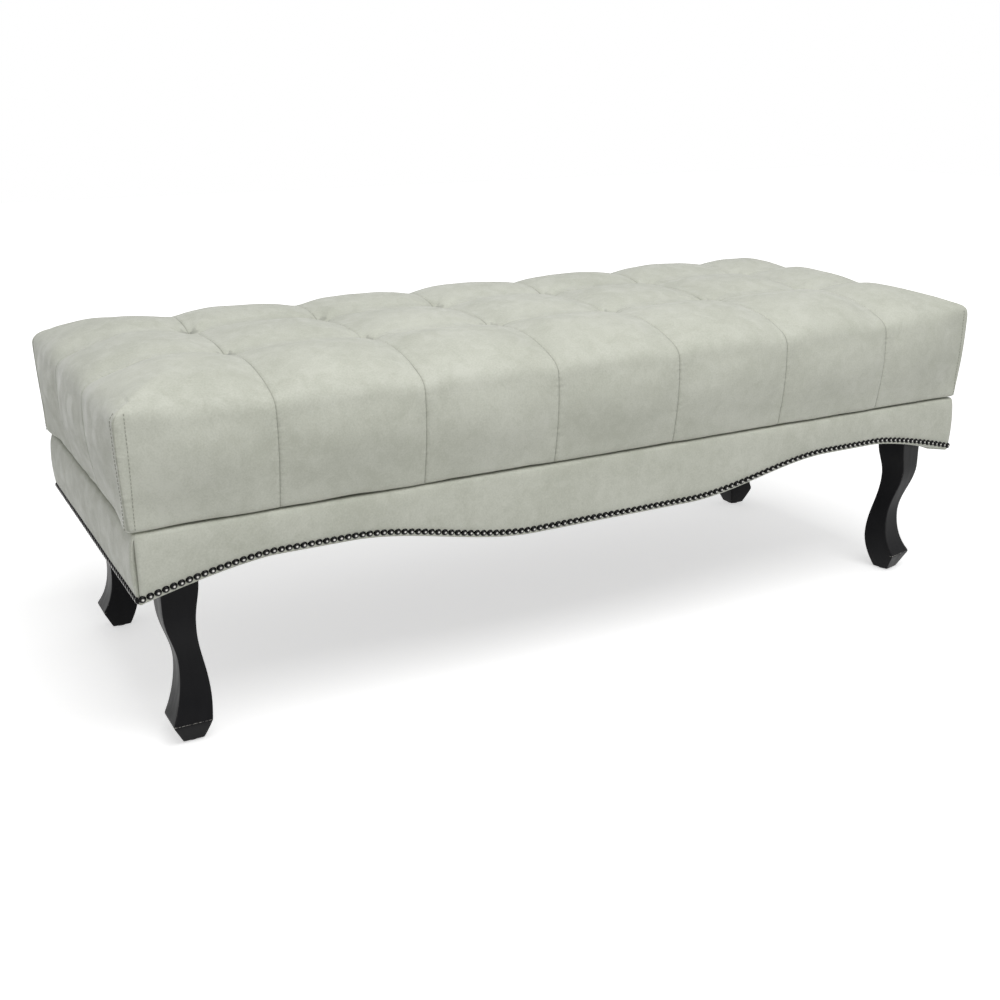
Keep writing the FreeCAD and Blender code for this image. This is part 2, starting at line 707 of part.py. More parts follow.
def add_leg_outline(sketch):
    """Outline of a cabriole leg, sawn alike on two faces: (distance from the apron's face, height)."""
    front, back = place.leg_inset, place.post_back
    sole = size.glide_thickness
    toe = (front, size.toe_height)
    ankle = (front + size.ankle_set, size.ankle_height)
    knee = (front, size.knee_height)
    top_front, top_back = (front, place.leg_top), (back, place.leg_top)
    post_end = (back, size.post_inner_end)
    knee_back = (back - size.knee_back_set, size.knee_back_height)
    heel = (back + size.heel_swell, size.heel_height)
    base_front = (front + size.foot_base_set, sole)
    base_back = (base_front[0] + size.foot_base_width, sole)
    toe_pole = (toe[0] + TOE_PULL[0] * (ankle[0] - toe[0]), toe[1] + TOE_PULL[1] * (ankle[1] - toe[1]))
    ankle_pole = (ankle[0], ankle[1] - CURVE_PULL * (ankle[1] - toe[1]))
    heel_pole = (heel[0], heel[1] + CURVE_PULL * (sole - heel[1]))
    sole_pole = (heel[0] + SOLE_PULL[0] * (base_back[0] - heel[0]), heel[1] + SOLE_PULL[1] * (sole - heel[1]))
    sketch.addGeometry([
        Part.LineSegment(Vector(*base_front, 0), Vector(*toe, 0)),
        bezier(toe, toe_pole, ankle_pole, ankle),
        s_curve(ankle, knee),
        Part.LineSegment(Vector(*knee, 0), Vector(*top_front, 0)),
        Part.LineSegment(Vector(*top_front, 0), Vector(*top_back, 0)),
        Part.LineSegment(Vector(*top_back, 0), Vector(*post_end, 0)),
        s_curve(post_end, knee_back),
        s_curve(knee_back, heel),
        bezier(heel, heel_pole, sole_pole, base_back),
        Part.LineSegment(Vector(*base_back, 0), Vector(*base_front, 0)),
    ], False)


LEG_TURNS = {"front_right": "sizes.front_right_turn"}


def turn_on_bolt(thing, side):
    """Turns a leg, or what is fixed to it, about its hanger bolt."""
    angle, corner_x, corner_y = side[2:]
    turn = value(LEG_TURNS.get(side[1], "0"))
    bolt = Vector(place.bolt_inset, place.bolt_inset, 0)
    turned_frame = FreeCAD.Placement(Vector(0, 0, 0), FreeCAD.Rotation(UP, turn), bolt)
    frame = FreeCAD.Placement(Vector(value(corner_x), value(corner_y), 0), FreeCAD.Rotation(UP, angle))
    thing.Placement = frame.multiply(turned_frame).multiply(thing.Placement)


def make_leg(side):
    """Cabriole leg: a blank sawn to the outline on one face, then to the same outline on the next."""
    body = doc.addObject("PartDesign::Body", "leg_" + side[1])
    body.Label = "leg_" + side[1]
    turn_on_bolt(body, side)
    start = "(places.leg_inset - %d)" % SAW_MARGIN
    stock = "(sizes.post_width + sizes.heel_swell + %d)" % (2 * SAW_MARGIN)
    first = new_sketch(body, "XZ_Plane", "-" + start)
    add_leg_outline(first)
    pad(body, first, stock, False)
    second = new_sketch(body, "YZ_Plane", "(%s - 1)" % start)
    rectangle(second, "(%s - 1)" % start, "(sizes.glide_thickness - 1)", "%s + 2" % stock, "places.leg_top")
    add_leg_outline(second)
    pocket(body, second, "%s + 2" % stock, True)
    bore = new_sketch(body, "XY_Plane", "places.leg_top")
    circle(bore, "places.bolt_inset", "places.bolt_inset", "sizes.bolt_diameter")
    pocket(body, bore, "sizes.bolt_depth")
    pin = new_sketch(body, "XY_Plane", "sizes.glide_thickness")
    circle(pin, "places.foot_centre", "places.foot_centre", "sizes.glide_pin_diameter")
    pocket(body, pin, "sizes.glide_pin_length", True)
    return body


def at_each_leg(label, shape, inset, height):
    """One copy of a small piece at each leg, at the same distance from both apron faces."""
    found = []
    for side in SIDES:
        copy = placed(shape, Vector(inset, inset, height))
        turn_on_bolt(copy, side)
        found.append(copy)
    return solid_group(label, found)


def ring(outer, inner, height):
    return Part.makeCylinder(outer / 2, height).cut(Part.makeCylinder(inner / 2, height))


def make_leg_hardware():
    bolt_bottom = place.leg_top - size.bolt_depth
    bolt = Part.makeCylinder(size.bolt_diameter / 2, place.bolt_top - bolt_bottom)
    at_each_leg("hanger_bolts", bolt, place.bolt_inset, bolt_bottom)
    hole = size.bolt_diameter + 2 * size.washer_clearance
    washer = ring(size.washer_diameter, hole, size.washer_thickness)
    at_each_leg("leg_washers", washer, place.bolt_inset, place.nut_seat)
    corners = [math.radians(60 * k) for k in range(7)]
    reach = size.nut_across_flats / 2 / math.cos(math.radians(30))
    outline = Part.makePolygon([Vector(reach * math.cos(a), reach * math.sin(a), 0) for a in corners])
    nut = Part.Face(outline).extrude(Vector(0, 0, size.nut_height))
    nut = nut.cut(Part.makeCylinder(size.bolt_diameter / 2, size.nut_height))
    at_each_leg("leg_nuts", nut, place.bolt_inset, place.nut_seat + size.washer_thickness)
    flat, pin = size.glide_diameter / 2, size.glide_pin_diameter / 2
    top = size.glide_thickness + size.glide_pin_length
    glide = turned([(0, 0), (flat, 0), (flat, size.glide_thickness), (pin, size.glide_thickness), (pin, top),
                    (0, top)], 0)
    at_each_leg("foot_glides", glide, place.foot_centre, 0)


for side in SIDES:
    make_leg(side)
make_leg_hardware()


# Seat: board, foam, ties, and the tufted cover with its wadding


def tuft_columns():
    """Formulas for the seams across the seat, from the left end."""
    return ["(sizes.end_panel + %d * places.panel_pitch)" % k for k in range(int(size.middle_panels) + 1)]


TUFT_ROWS = ("places.edge_row", "(places.edge_row + sizes.middle_row)")


def slab(label, bottom, thickness, hole_diameter):
    """Board or foam block under the whole seat, with a hole at each tuft."""
    body = new_body(label)
    outline = new_sketch(body, "XY_Plane", bottom)
    rectangle(outline, "sizes.core_inset", "sizes.core_inset", "sizes.apron_length - 2 * sizes.core_inset",
              "sizes.apron_depth - 2 * sizes.core_inset")
    pad(body, outline, thickness)
    holes = new_sketch(body, "XY_Plane", bottom)
    for along in tuft_columns():
        for across in TUFT_ROWS:
            circle(holes, along, across, hole_diameter)
    pocket(body, holes, thickness, True)
    return body


def make_board():
    body = slab("seat_board", "places.board_bottom", "sizes.board_thickness", "sizes.tie_hole_diameter")
    pilots = new_sketch(body, "XY_Plane", "places.board_bottom")
    for centre in brace_centres():
        for row in SEAT_SCREW_ROWS:
            circle(pilots, centre, seat_screw_row(row), "sizes.screw_diameter")
    pocket(body, pilots, "sizes.seat_screw_length - sizes.brace_thickness", True)
    return body


def at_each_tuft(label, shape, height):
    found = []
    for along in tuft_columns():
        for across in TUFT_ROWS:
            found.append(placed(shape, Vector(value(along), value(across), height)))
    return solid_group(label, found, SIDES[0])


def make_ties():
    washer = ring(size.tie_washer_diameter, size.tie_diameter, size.tie_washer_thickness)
    washer_bottom = place.board_bottom - size.tie_washer_thickness
    at_each_tuft("tie_washers", washer, washer_bottom)
    knot_bottom = washer_bottom - size.knot_height
    knot, cord = size.knot_diameter / 2, size.tie_diameter / 2
    length = place.tuft_top - size.tie_stop - knot_bottom
    tie = turned([(0, 0), (knot, 0), (knot, size.knot_height), (cord, size.knot_height), (cord, length),
                  (0, length)], 0)
    at_each_tuft("tuft_ties", tie, knot_bottom)


PILLOW_POWER = 3
PILLOW_STATIONS = (0, 0.18, 0.5, 0.82, 1)
HALF_STATIONS = (0, 0.36, 1)
EDGE_ROUNDING = (0.27, 0.62)


def swell(share):
    """How full a panel is across its width: 0 at its seams, 1 in the middle."""
    return 1 - abs(2 * share - 1) ** PILLOW_POWER


def side_outline(fullness):
    """Cushion's side from its foot to the end of its rounded top edge: (past the apron's face, height)."""
    bulge = size.seam_bulge + size.panel_bulge * fullness
    lift = size.panel_swell * fullness
    foot = place.board_bottom - size.hem_thickness
    shoulder = place.foam_top - size.shoulder_drop
    belly = (bulge - 1 + fullness, (foot + shoulder) / 2)
    edge_end = (bulge - size.shoulder_depth, shoulder + size.shoulder_rise + lift)
    across, up = EDGE_ROUNDING
    edge_middle = (bulge - across * size.shoulder_depth, shoulder + up * (size.shoulder_rise + lift))
    return [(-size.cushion_draw_in, foot), belly, (bulge, shoulder), edge_middle, edge_end]


def arc(first, through, last):
    return Part.Arc(first, through, last).toShape()


def side_edges(points):
    """Side and rounded top edge of the cushion as two arcs, from five points."""
    return [arc(*points[:3]), arc(*points[2:])]


def seat_section(at, fullness):
    """Section across the bench: two sides, and three arcs that meet at the two seams along the seat."""
    outline = side_outline(fullness)
    half = place.half_depth
    front = [Vector(at, -half - past, height) for past, height in outline]
    back = [Vector(at, half + past, height) for past, height in reversed(outline)]
    valley = place.tuft_top + size.seam_swell * fullness
    crest = place.tuft_top + size.seam_swell + size.panel_swell * fullness
    seam = size.middle_row / 2
    front_seam, back_seam = Vector(at, -seam, valley), Vector(at, seam, valley)
    roll = half - size.edge_roll
    edges = side_edges(front)
    edges.append(arc(front[-1], Vector(at, -roll, crest), front_seam))
    edges.append(arc(front_seam, Vector(at, 0, crest), back_seam))
    edges.append(arc(back_seam, Vector(at, roll, crest), back[0]))
    edges += side_edges(back)
    edges.append(Part.LineSegment(back[-1], front[0]).toShape())
    return Part.Wire(edges)


def end_section(at, fullness):
    """Section along the bench: shapes the two ends, and stays above the panels between them."""
    outline = side_outline(fullness)
    half = place.half_length
    left = [Vector(-half - past, at, height) for past, height in outline]
    right = [Vector(half + past, at, height) for past, height in reversed(outline)]
    crest = place.tuft_top + size.seam_swell + size.panel_swell
    level = crest + size.level_clearance
    low = crest - size.end_roll_drop - size.panel_swell * (1 - fullness)
    level_end = half - size.end_roll
    low_end = half - size.end_roll_bend
    edges = side_edges(left)
    edges.append(arc(left[-1], Vector(-low_end, at, low), Vector(-level_end, at, level)))
    edges.append(Part.LineSegment(Vector(-level_end, at, level), Vector(level_end, at, level)).toShape())
    edges.append(arc(Vector(level_end, at, level), Vector(low_end, at, low), right[0]))
    edges += side_edges(right)
    edges.append(Part.LineSegment(right[-1], left[0]).toShape())
    return Part.Wire(edges)


def quilted_form(section, seams, outer_middle, end):
    """Closed form of panels between seams; the outer half panels run on straight past the end."""
    skins = []
    for near, far in zip(seams, seams[1:]):
        wires = [section(near + (far - near) * share, swell(share)) for share in PILLOW_STATIONS]
        skins.append(Part.makeLoft(wires, False, False))
    for way in (-1, 1):
        seam, middle = way * abs(seams[0]), way * outer_middle
        wires = [section(seam + (middle - seam) * share, swell(share / 2)) for share in HALF_STATIONS]
        skins.append(Part.makeLoft(wires, False, False))
        skins.append(Part.makeLoft([section(middle, 1), section(way * end, 1)], False, True))
    faces = [face for skin in skins for face in skin.Faces]
    faces += [Part.Face(section(-end, 1)), Part.Face(section(end, 1))]
    shell = Part.makeShell(faces)
    shell.sewShape()
    form = Part.makeSolid(shell)
    if form.Volume < 0:
        form.reverse()
    return form


def make_quilted_cover():
    """Tufted cover with its wadding, open below for foam and board, its hem turned under the board."""
    half_length, half_depth = place.half_length, place.half_depth
    columns = [value(formula) - half_length for formula in tuft_columns()]
    rows = [value(formula) - half_depth for formula in TUFT_ROWS]
    across = quilted_form(seat_section, columns, half_length - size.end_panel / 2, half_length + size.form_overrun)
    along = quilted_form(end_section, rows, half_depth - place.edge_row / 2, half_depth + size.form_overrun)
    form = across.common(along)
    inset = size.core_inset
    core = Part.makeBox(size.apron_length - 2 * inset, size.apron_depth - 2 * inset,
                        place.foam_top - place.board_bottom,
                        Vector(inset - half_length, inset - half_depth, place.board_bottom))
    hem = place.cover_turn_in
    mouth = Part.makeBox(size.apron_length - 2 * hem, size.apron_depth - 2 * hem, 2 * size.hem_thickness,
                         Vector(hem - half_length, hem - half_depth, place.board_bottom - 2 * size.hem_thickness))
    tie = Part.makeCylinder(size.tie_diameter / 2, size.tuft_wadding - size.tie_stop)
    ties = [placed(tie, Vector(x, y, place.foam_top)) for x in columns for y in rows]
    return solid_group("quilted_cover", [form.cut([core, mouth] + ties).Solids[0]])


make_board()
slab("foam_block", "places.board_top", "sizes.foam_thickness", "sizes.tie_diameter")
make_ties()
make_quilted_cover()


# Dust cover under the frame, cut out round the legs


def make_dust_cover():
    body = new_body("dust_cover")
    sheet = new_sketch(body, "XY_Plane", "places.leg_top")
    edge = "(places.rail_back + sizes.dust_cover_gap)"
    rectangle(sheet, edge, edge, "sizes.apron_length - 2 * " + edge, "sizes.apron_depth - 2 * " + edge)
    pad(body, sheet, "sizes.dust_cover_thickness", False)
    cut_outs = new_sketch(body, "XY_Plane", "places.leg_top")
    near = "places.cut_out"
    for left in ("0", "sizes.apron_length - " + near):
        for low in ("0", "sizes.apron_depth - " + near):
            rectangle(cut_outs, left, low, near, near)
    pocket(body, cut_outs, "sizes.dust_cover_thickness")
    return body


make_dust_cover()


# Check the model and write one file for each piece


doc.recompute()
for thing in doc.Objects:
    if "Invalid" in thing.State or "Error" in thing.State:
        raise RuntimeError("%s did not build: %s" % (thing.Label, thing.State))
pieces = [thing for thing in doc.Objects if thing.TypeId in ("PartDesign::Body", "Part::Feature")]
for thing in pieces:
    if thing.Shape.isNull() or not thing.Shape.isValid() or not thing.Shape.Solids:
        raise RuntimeError("%s has no valid solid" % thing.Label)
    thing.Shape.exportStep(os.path.join("parts", thing.Label + ".step"))
    print("%-26s %3d solids %12.0f mm3" % (thing.Label, len(thing.Shape.Solids), thing.Shape.Volume))
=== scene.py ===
# %% [markdown]
# # A tufted bench on cabriole legs
# The real bench is a plywood seat with foam on it, pulled down by twelve ties under a sewn cover, and a
# wooden apron wrapped in the same cloth and edged with domed nails. The frame file already holds every
# hard part at its true place, in metres. This notebook dresses it: it keeps the hidden woodwork, and makes
# the cloth, the nails, the lacquered legs and the stitches, which are what one sees.

# %% Load the frame
import bmesh
import bpy
import math
import numpy as np
from mathutils import Matrix, Vector, noise
from mathutils.bvhtree import BVHTree


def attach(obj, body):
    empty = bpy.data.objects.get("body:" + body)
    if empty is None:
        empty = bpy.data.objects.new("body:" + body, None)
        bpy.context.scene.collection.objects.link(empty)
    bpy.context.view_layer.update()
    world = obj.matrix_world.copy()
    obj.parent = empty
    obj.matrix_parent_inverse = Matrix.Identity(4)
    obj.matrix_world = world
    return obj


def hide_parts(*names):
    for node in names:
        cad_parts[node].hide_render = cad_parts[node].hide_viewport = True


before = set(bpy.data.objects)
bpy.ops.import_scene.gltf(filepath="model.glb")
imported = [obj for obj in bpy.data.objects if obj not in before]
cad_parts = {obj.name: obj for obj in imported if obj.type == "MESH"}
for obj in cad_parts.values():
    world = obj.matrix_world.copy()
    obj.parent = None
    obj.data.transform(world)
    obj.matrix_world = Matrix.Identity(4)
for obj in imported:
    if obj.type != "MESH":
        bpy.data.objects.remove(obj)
scene = bpy.context.scene
scene.view_settings.view_transform = "Standard"


def new_object(name, data):
    made = bpy.data.objects.new(name, data)
    scene.collection.objects.link(made)
    return made


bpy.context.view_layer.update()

# %% [markdown]
# ## Camera
# A camera can be placed by eye or solved from known points. Here the corners of the apron and the feet were
# matched to the picture, which gives the place, the three angles and the focal length below. Building the
# turn from three unit vectors avoids any doubt about the order of Euler angles.

# %% Camera
camera_place = Vector((-0.9342, -1.6500, 0.7864))
heading, pitch, roll = (math.radians(angle) for angle in (-28.478, 18.194, -0.511))
forward = Vector((-math.sin(heading) * math.cos(pitch), math.cos(heading) * math.cos(pitch),
                  -math.sin(pitch)))
level = Vector((math.cos(heading), math.sin(heading), 0))
upright = level.cross(forward)
right = math.cos(roll) * level + math.sin(roll) * upright
up = math.cos(roll) * upright - math.sin(roll) * level
camera = new_object("bench_camera", bpy.data.cameras.new("bench_camera"))
camera.data.sensor_width = 36
camera.data.lens = 44.34
turn = Matrix((right, up, -forward)).transposed()
camera.matrix_world = Matrix.Translation(camera_place) @ turn.to_4x4()
scene.camera = camera
print("camera looks along", tuple(round(number, 3) for number in forward))

# %% [markdown]
# ## Small helpers for materials
# Shader trees can be drawn by hand or built in code. Code keeps them readable if each step is one call, so
# these helpers add a node with its settings, link sockets, and make a node group with named inputs and
# outputs. Groups hold the effects that several finishes share; the Principled shader stays in each material.

# %% Helpers for nodes
def feed(tree, node, inputs=None, **named):
    """Gives a node's inputs values or other nodes' outputs, by number or by name with _ for a space."""
    named = {label.replace("_", " "): given for label, given in named.items()}
    for key, given in {**(inputs or {}), **named}.items():
        if isinstance(given, bpy.types.NodeSocket):
            tree.links.new(given, node.inputs[key])
        else:
            node.inputs[key].default_value = given
    return node


def add(tree, kind, inputs=None, **settings):
    node = tree.nodes.new(kind)
    for key, setting in settings.items():
        setattr(node, key, setting)
    return feed(tree, node, inputs)


def own_place(tree):
    return tree.nodes.new("ShaderNodeTexCoord").outputs["Object"]


def point_number(tree, name):
    """The number that the mesh stores at each point under a name."""
    return add(tree, "ShaderNodeAttribute", attribute_name=name).outputs["Fac"]


def math_step(tree, operation, first, second):
    return add(tree, "ShaderNodeMath", {0: first, 1: second}, operation=operation).outputs[0]


def times(tree, first, second):
    return math_step(tree, "MULTIPLY", first, second)


def plus(tree, first, second):
    return math_step(tree, "ADD", first, second)


def noise_at(tree, where, scale, detail=2.0, roughness=0.5, distortion=0.0):
    return add(tree, "ShaderNodeTexNoise", {"Vector": where, "Scale": scale, "Detail": detail,
                                            "Roughness": roughness, "Distortion": distortion}).outputs["Fac"]


def remap(tree, given, low, high, to_low, to_high, **settings):
    inputs = {"Value": given, "From Min": low, "From Max": high, "To Min": to_low, "To Max": to_high}
    return add(tree, "ShaderNodeMapRange", inputs, **settings).outputs["Result"]


def blend(tree, share, first, second):
    return add(tree, "ShaderNodeMix", {0: share, 6: first, 7: second}, data_type="RGBA").outputs[2]


def new_group(name, inputs, outputs):
    """Node group with sockets given as (name, kind, default) and (name, kind)."""
    tree = bpy.data.node_groups.new(name, "ShaderNodeTree")
    for label, kind, default in inputs:
        socket = tree.interface.new_socket(name=label, in_out="INPUT", socket_type="NodeSocket" + kind)
        socket.default_value = default
    for label, kind in outputs:
        tree.interface.new_socket(name=label, in_out="OUTPUT", socket_type="NodeSocket" + kind)
    return tree, tree.nodes.new("NodeGroupInput").outputs, tree.nodes.new("NodeGroupOutput")


def use_group(tree, group, **inputs):
    return feed(tree, add(tree, "ShaderNodeGroup", node_tree=group), **inputs)


def new_finish(name, viewport_colour, **settings):
    """Material with one Principled shader, whose plain settings are given by name with _ for a space."""
    material = bpy.data.materials.new(name)
    material.use_nodes = True
    material.diffuse_color = (*viewport_colour, 1)
    tree = material.node_tree
    return material, tree, feed(tree, tree.nodes["Principled BSDF"], **settings)


def bump(tree, height, distance, shader):
    node = add(tree, "ShaderNodeBump", {"Height": height, "Distance": distance, "Strength": 1.0})
    feed(tree, shader, Normal=node.outputs["Normal"])


print("node helpers ready")

# %% [markdown]
# ## Light and background
# A photo studio wraps a bench in white: a big soft lamp overhead and pale walls. The world colour does the
# walls, and one large lamp, above and in front, gives the top its brightness and leaves the left end darkest,
# as in the picture. Rays that show the background itself see plain white, so it is white without more light
# falling on the cloth.

# %% World and lamp
WALL_LIGHT = 0.36
LAMP_WATTS = 59
LAMP_PLACE, LAMP_TARGET, LAMP_SIZE = (-0.1, -1.25, 2.8), (0.0, 0.0, 0.4), 2.2
WHITE = (1, 1, 1, 1)


def seen_directly(tree):
    """1 for rays that show the background itself: from the camera, in a mirror or through glass."""
    path = tree.nodes.new("ShaderNodeLightPath").outputs
    either = math_step(tree, "MAXIMUM", path["Is Camera Ray"], path["Is Glossy Ray"])
    return math_step(tree, "MAXIMUM", either, path["Is Transmission Ray"])


world = bpy.data.worlds.new("studio_walls")
world.use_nodes = True
walls = world.node_tree
walls.nodes.clear()
lit, shown = (add(walls, "ShaderNodeBackground", {"Color": WHITE, "Strength": strength}).outputs[0]
              for strength in (WALL_LIGHT, 1))
choose = add(walls, "ShaderNodeMixShader", {0: seen_directly(walls), 1: lit, 2: shown})
add(walls, "ShaderNodeOutputWorld", {"Surface": choose.outputs[0]})
scene.world = world

softbox = new_object("overhead_softbox", bpy.data.lights.new("overhead_softbox", "AREA"))
softbox.data.shape = "SQUARE"
softbox.data.size = LAMP_SIZE
softbox.data.energy = LAMP_WATTS
aim = (Vector(LAMP_PLACE) - Vector(LAMP_TARGET)).to_track_quat("Z", "Y")
softbox.matrix_world = Matrix.Translation(LAMP_PLACE) @ aim.to_matrix().to_4x4()
print("one lamp of", LAMP_WATTS, "W and walls at", WALL_LIGHT)

# %% [markdown]
# ## Brushed suede cloth
# The cover is a brushed cloth like nubuck: a pale greenish grey that drifts in soft clouds, with a mottle
# where the nap lies in different directions, and a fine grain. Three noises of different size are enough.
# The mottle also changes the roughness, which is why it shows most on the top, where light grazes it.

# %% Group: brushed cloth
suede_group, suede_in, suede_out = new_group(
    "brushed_cloth",
    [("Light", "Color", (0.6, 0.6, 0.55, 1)), ("Dark", "Color", (0.5, 0.5, 0.45, 1)),
     ("Cloud Scale", "Float", 7.0), ("Nap Scale", "Float", 45.0), ("Grain Scale", "Float", 450.0),
     ("Rough Low", "Float", 0.5), ("Rough High", "Float", 0.8)],
    [("Color", "Color"), ("Roughness", "Float"), ("Height", "Float")])
where = own_place(suede_group)
clouds = noise_at(suede_group, where, suede_in["Cloud Scale"], 2)
nap = noise_at(suede_group, where, suede_in["Nap Scale"], 5, 0.62, 0.7)
grain = noise_at(suede_group, where, suede_in["Grain Scale"], 2, 0.6)
CLOUD_SHARE, NAP_SHARE, GRAIN_SHARE = 0.34, 0.30, 0.36
mottle = plus(suede_group, times(suede_group, clouds, CLOUD_SHARE), times(suede_group, nap, NAP_SHARE))
mottle = plus(suede_group, mottle, times(suede_group, grain, GRAIN_SHARE))
shade = remap(suede_group, mottle, 0.39, 0.61, 0, 1)
colour = blend(suede_group, shade, suede_in["Dark"], suede_in["Light"])
rough = remap(suede_group, nap, 0.35, 0.65, suede_in["Rough High"], suede_in["Rough Low"])
height = plus(suede_group, times(suede_group, nap, 0.7), times(suede_group, grain, 0.3))
feed(suede_group, suede_out, Color=colour, Roughness=rough, Height=height)
print("brushed_cloth:", len(suede_group.nodes), "nodes")

# %% [markdown]
# ## Puckers beside a seam
# A machine seam gathers thin cloth a little, so short creases stand across it and fade within a finger's
# width. The mesh will carry two numbers at each point, the distance to the nearest seam and the distance
# along it; a noise stretched in those two directions makes creases that follow every seam by themselves.

# %% Group: seam puckers
seam_pucker_and_shade_group, pucker_in, pucker_out = new_group(
    "seam_puckers_and_shade", [("Reach", "Float", 0.016), ("Pitch", "Float", 0.006)],
    [("Height", "Float"), ("Line", "Float")])
ACROSS_SCALE = 40
LINE_CORE, LINE_END = 0.0003, 0.0025
gap, run = point_number(seam_pucker_and_shade_group, "seam_gap"), point_number(seam_pucker_and_shade_group, "seam_run")
steps = math_step(seam_pucker_and_shade_group, "DIVIDE", run, pucker_in["Pitch"])
away = times(seam_pucker_and_shade_group, gap, ACROSS_SCALE)
seam_place = add(seam_pucker_and_shade_group, "ShaderNodeCombineXYZ", {0: steps, 1: away}).outputs[0]
creases = noise_at(seam_pucker_and_shade_group, seam_place, 1.0, 1.5, 0.5)
fade = remap(seam_pucker_and_shade_group, gap, 0.0, pucker_in["Reach"], 1.0, 0.0, interpolation_type="SMOOTHSTEP")
# Line marks the narrow seam groove, where the cushion cloth is darkened with painted shade.
line = remap(seam_pucker_and_shade_group, gap, LINE_CORE, LINE_END, 1, 0)
feed(seam_pucker_and_shade_group, pucker_out, Height=times(seam_pucker_and_shade_group, creases, fade), Line=line)
print("seam_puckers_and_shade:", len(seam_pucker_and_shade_group.nodes), "nodes")

# %% [markdown]
# ## The cloth as a material
# The same cloth covers the cushion and the apron; only the cushion has seam numbers to read, which give it
# puckers and painted shade along each seam. A little sheen stands for the fuzz of the nap. The thread is the
# same colour, twisted, so it only needs a fine ripple.

# %% Cloth and thread
CLOTH_LIGHT = (0.590, 0.603, 0.526, 1)
CLOTH_DARK = (0.482, 0.497, 0.420, 1)
# SEAM_SHADE is the painted shade of the seam grooves, and SHADE_SHARE is how strongly it darkens them.
SEAM_SHADE, SHADE_SHARE = (0.24, 0.25, 0.20, 1), 0.55
PUCKER_RELIEF, NAP_RELIEF, THREAD_RELIEF = 0.0018, 0.0003, 0.0001
THREAD_DARK, THREAD_LIGHT = (0.25, 0.26, 0.21, 1), (0.42, 0.43, 0.37, 1)
SHEEN = {"Sheen_Weight": 0.35, "Sheen_Roughness": 0.45, "Specular_IOR_Level": 0.35}


def make_cloth(name, puckered_and_seam_shaded):
    material, tree, shader = new_finish(name, CLOTH_LIGHT[:3], **SHEEN)
    suede = use_group(tree, suede_group, Light=CLOTH_LIGHT, Dark=CLOTH_DARK, Rough_Low=0.48, Rough_High=0.78)
    colour, height = suede.outputs["Color"], suede.outputs["Height"]
    if puckered_and_seam_shaded:
        puckers_and_shade = use_group(tree, seam_pucker_and_shade_group)
        # Painted shade: the cloth is darkened along each seam line, where shade falls into the groove.
        painted_seam_shade = times(tree, puckers_and_shade.outputs["Line"], SHADE_SHARE)
        colour = blend(tree, painted_seam_shade, colour, SEAM_SHADE)
        height = plus(tree, times(tree, height, 0.20), puckers_and_shade.outputs["Height"])
    feed(tree, shader, Base_Color=colour, Roughness=suede.outputs["Roughness"])
    bump(tree, height, PUCKER_RELIEF if puckered_and_seam_shaded else NAP_RELIEF, shader)
    return material


cushion_cloth = make_cloth("cushion_cloth", True)
apron_cloth = make_cloth("apron_cloth", False)
thread, thread_tree, thread_shader = new_finish("sewing_thread", THREAD_LIGHT[:3], Roughness=0.6,
                                                Sheen_Weight=0.2)
twist = noise_at(thread_tree, own_place(thread_tree), 1500, 1)
feed(thread_tree, thread_shader, Base_Color=blend(thread_tree, twist, THREAD_DARK, THREAD_LIGHT))
bump(thread_tree, twist, THREAD_RELIEF, thread_shader)
print("cloth and thread ready")

# %% [markdown]
# ## Lacquer, wood and metal
# Worn edges come from a mask, and their pale colour is partly wear and partly a painted highlight of the
# crisp edge: each piece stores how near a point lies to an edge, and a noise breaks that band up, so that
# only parts of the edge turn pale. The wood grain is a stretched noise run through a wave, used on every
# hidden board with its own colours.

# %% Groups: worn edge and wood grain
edge_wear_and_highlight_group, edge_wear_and_highlight_in, edge_wear_and_highlight_out = new_group(
    "worn_and_highlit_edge", [("Scale", "Float", 220.0), ("Amount", "Float", 0.5)], [("Mask", "Float")])
patches = noise_at(edge_wear_and_highlight_group, own_place(edge_wear_and_highlight_group), edge_wear_and_highlight_in["Scale"], 3, 0.6)
wear_and_highlight = times(edge_wear_and_highlight_group, point_number(edge_wear_and_highlight_group, "edge"), plus(edge_wear_and_highlight_group, patches, edge_wear_and_highlight_in["Amount"]))
feed(edge_wear_and_highlight_group, edge_wear_and_highlight_out, Mask=remap(edge_wear_and_highlight_group, wear_and_highlight, 0.80, 0.95, 0, 1))

wood_group, wood_in, wood_out = new_group(
    "wood_grain",
    [("Light", "Color", (0.66, 0.49, 0.31, 1)), ("Dark", "Color", (0.50, 0.34, 0.19, 1)),
     ("Along", "Vector", (3.0, 40.0, 40.0))],
    [("Color", "Color"), ("Height", "Float")])
stretched = add(wood_group, "ShaderNodeMapping", {"Vector": own_place(wood_group),
                                                  "Scale": wood_in["Along"]}).outputs[0]
rings = noise_at(wood_group, stretched, 1.0, 4, 0.55, 1.2)
pores = noise_at(wood_group, stretched, 14.0, 2)
figure = math_step(wood_group, "PINGPONG", times(wood_group, rings, 6.0), 1.0)
feed(wood_group, wood_out, Color=blend(wood_group, figure, wood_in["Light"], wood_in["Dark"]), Height=pores)
print("worn_and_highlit_edge and wood_grain ready")

# %% Finishes of the hard pieces
def make_wood(name, along, light, dark):
    material, tree, shader = new_finish(name, light[:3], Roughness=0.7)
    wood = use_group(tree, wood_group, Light=light, Dark=dark, Along=along)
    feed(tree, shader, Base_Color=wood.outputs["Color"])
    bump(tree, wood.outputs["Height"], 0.0002, shader)
    return material


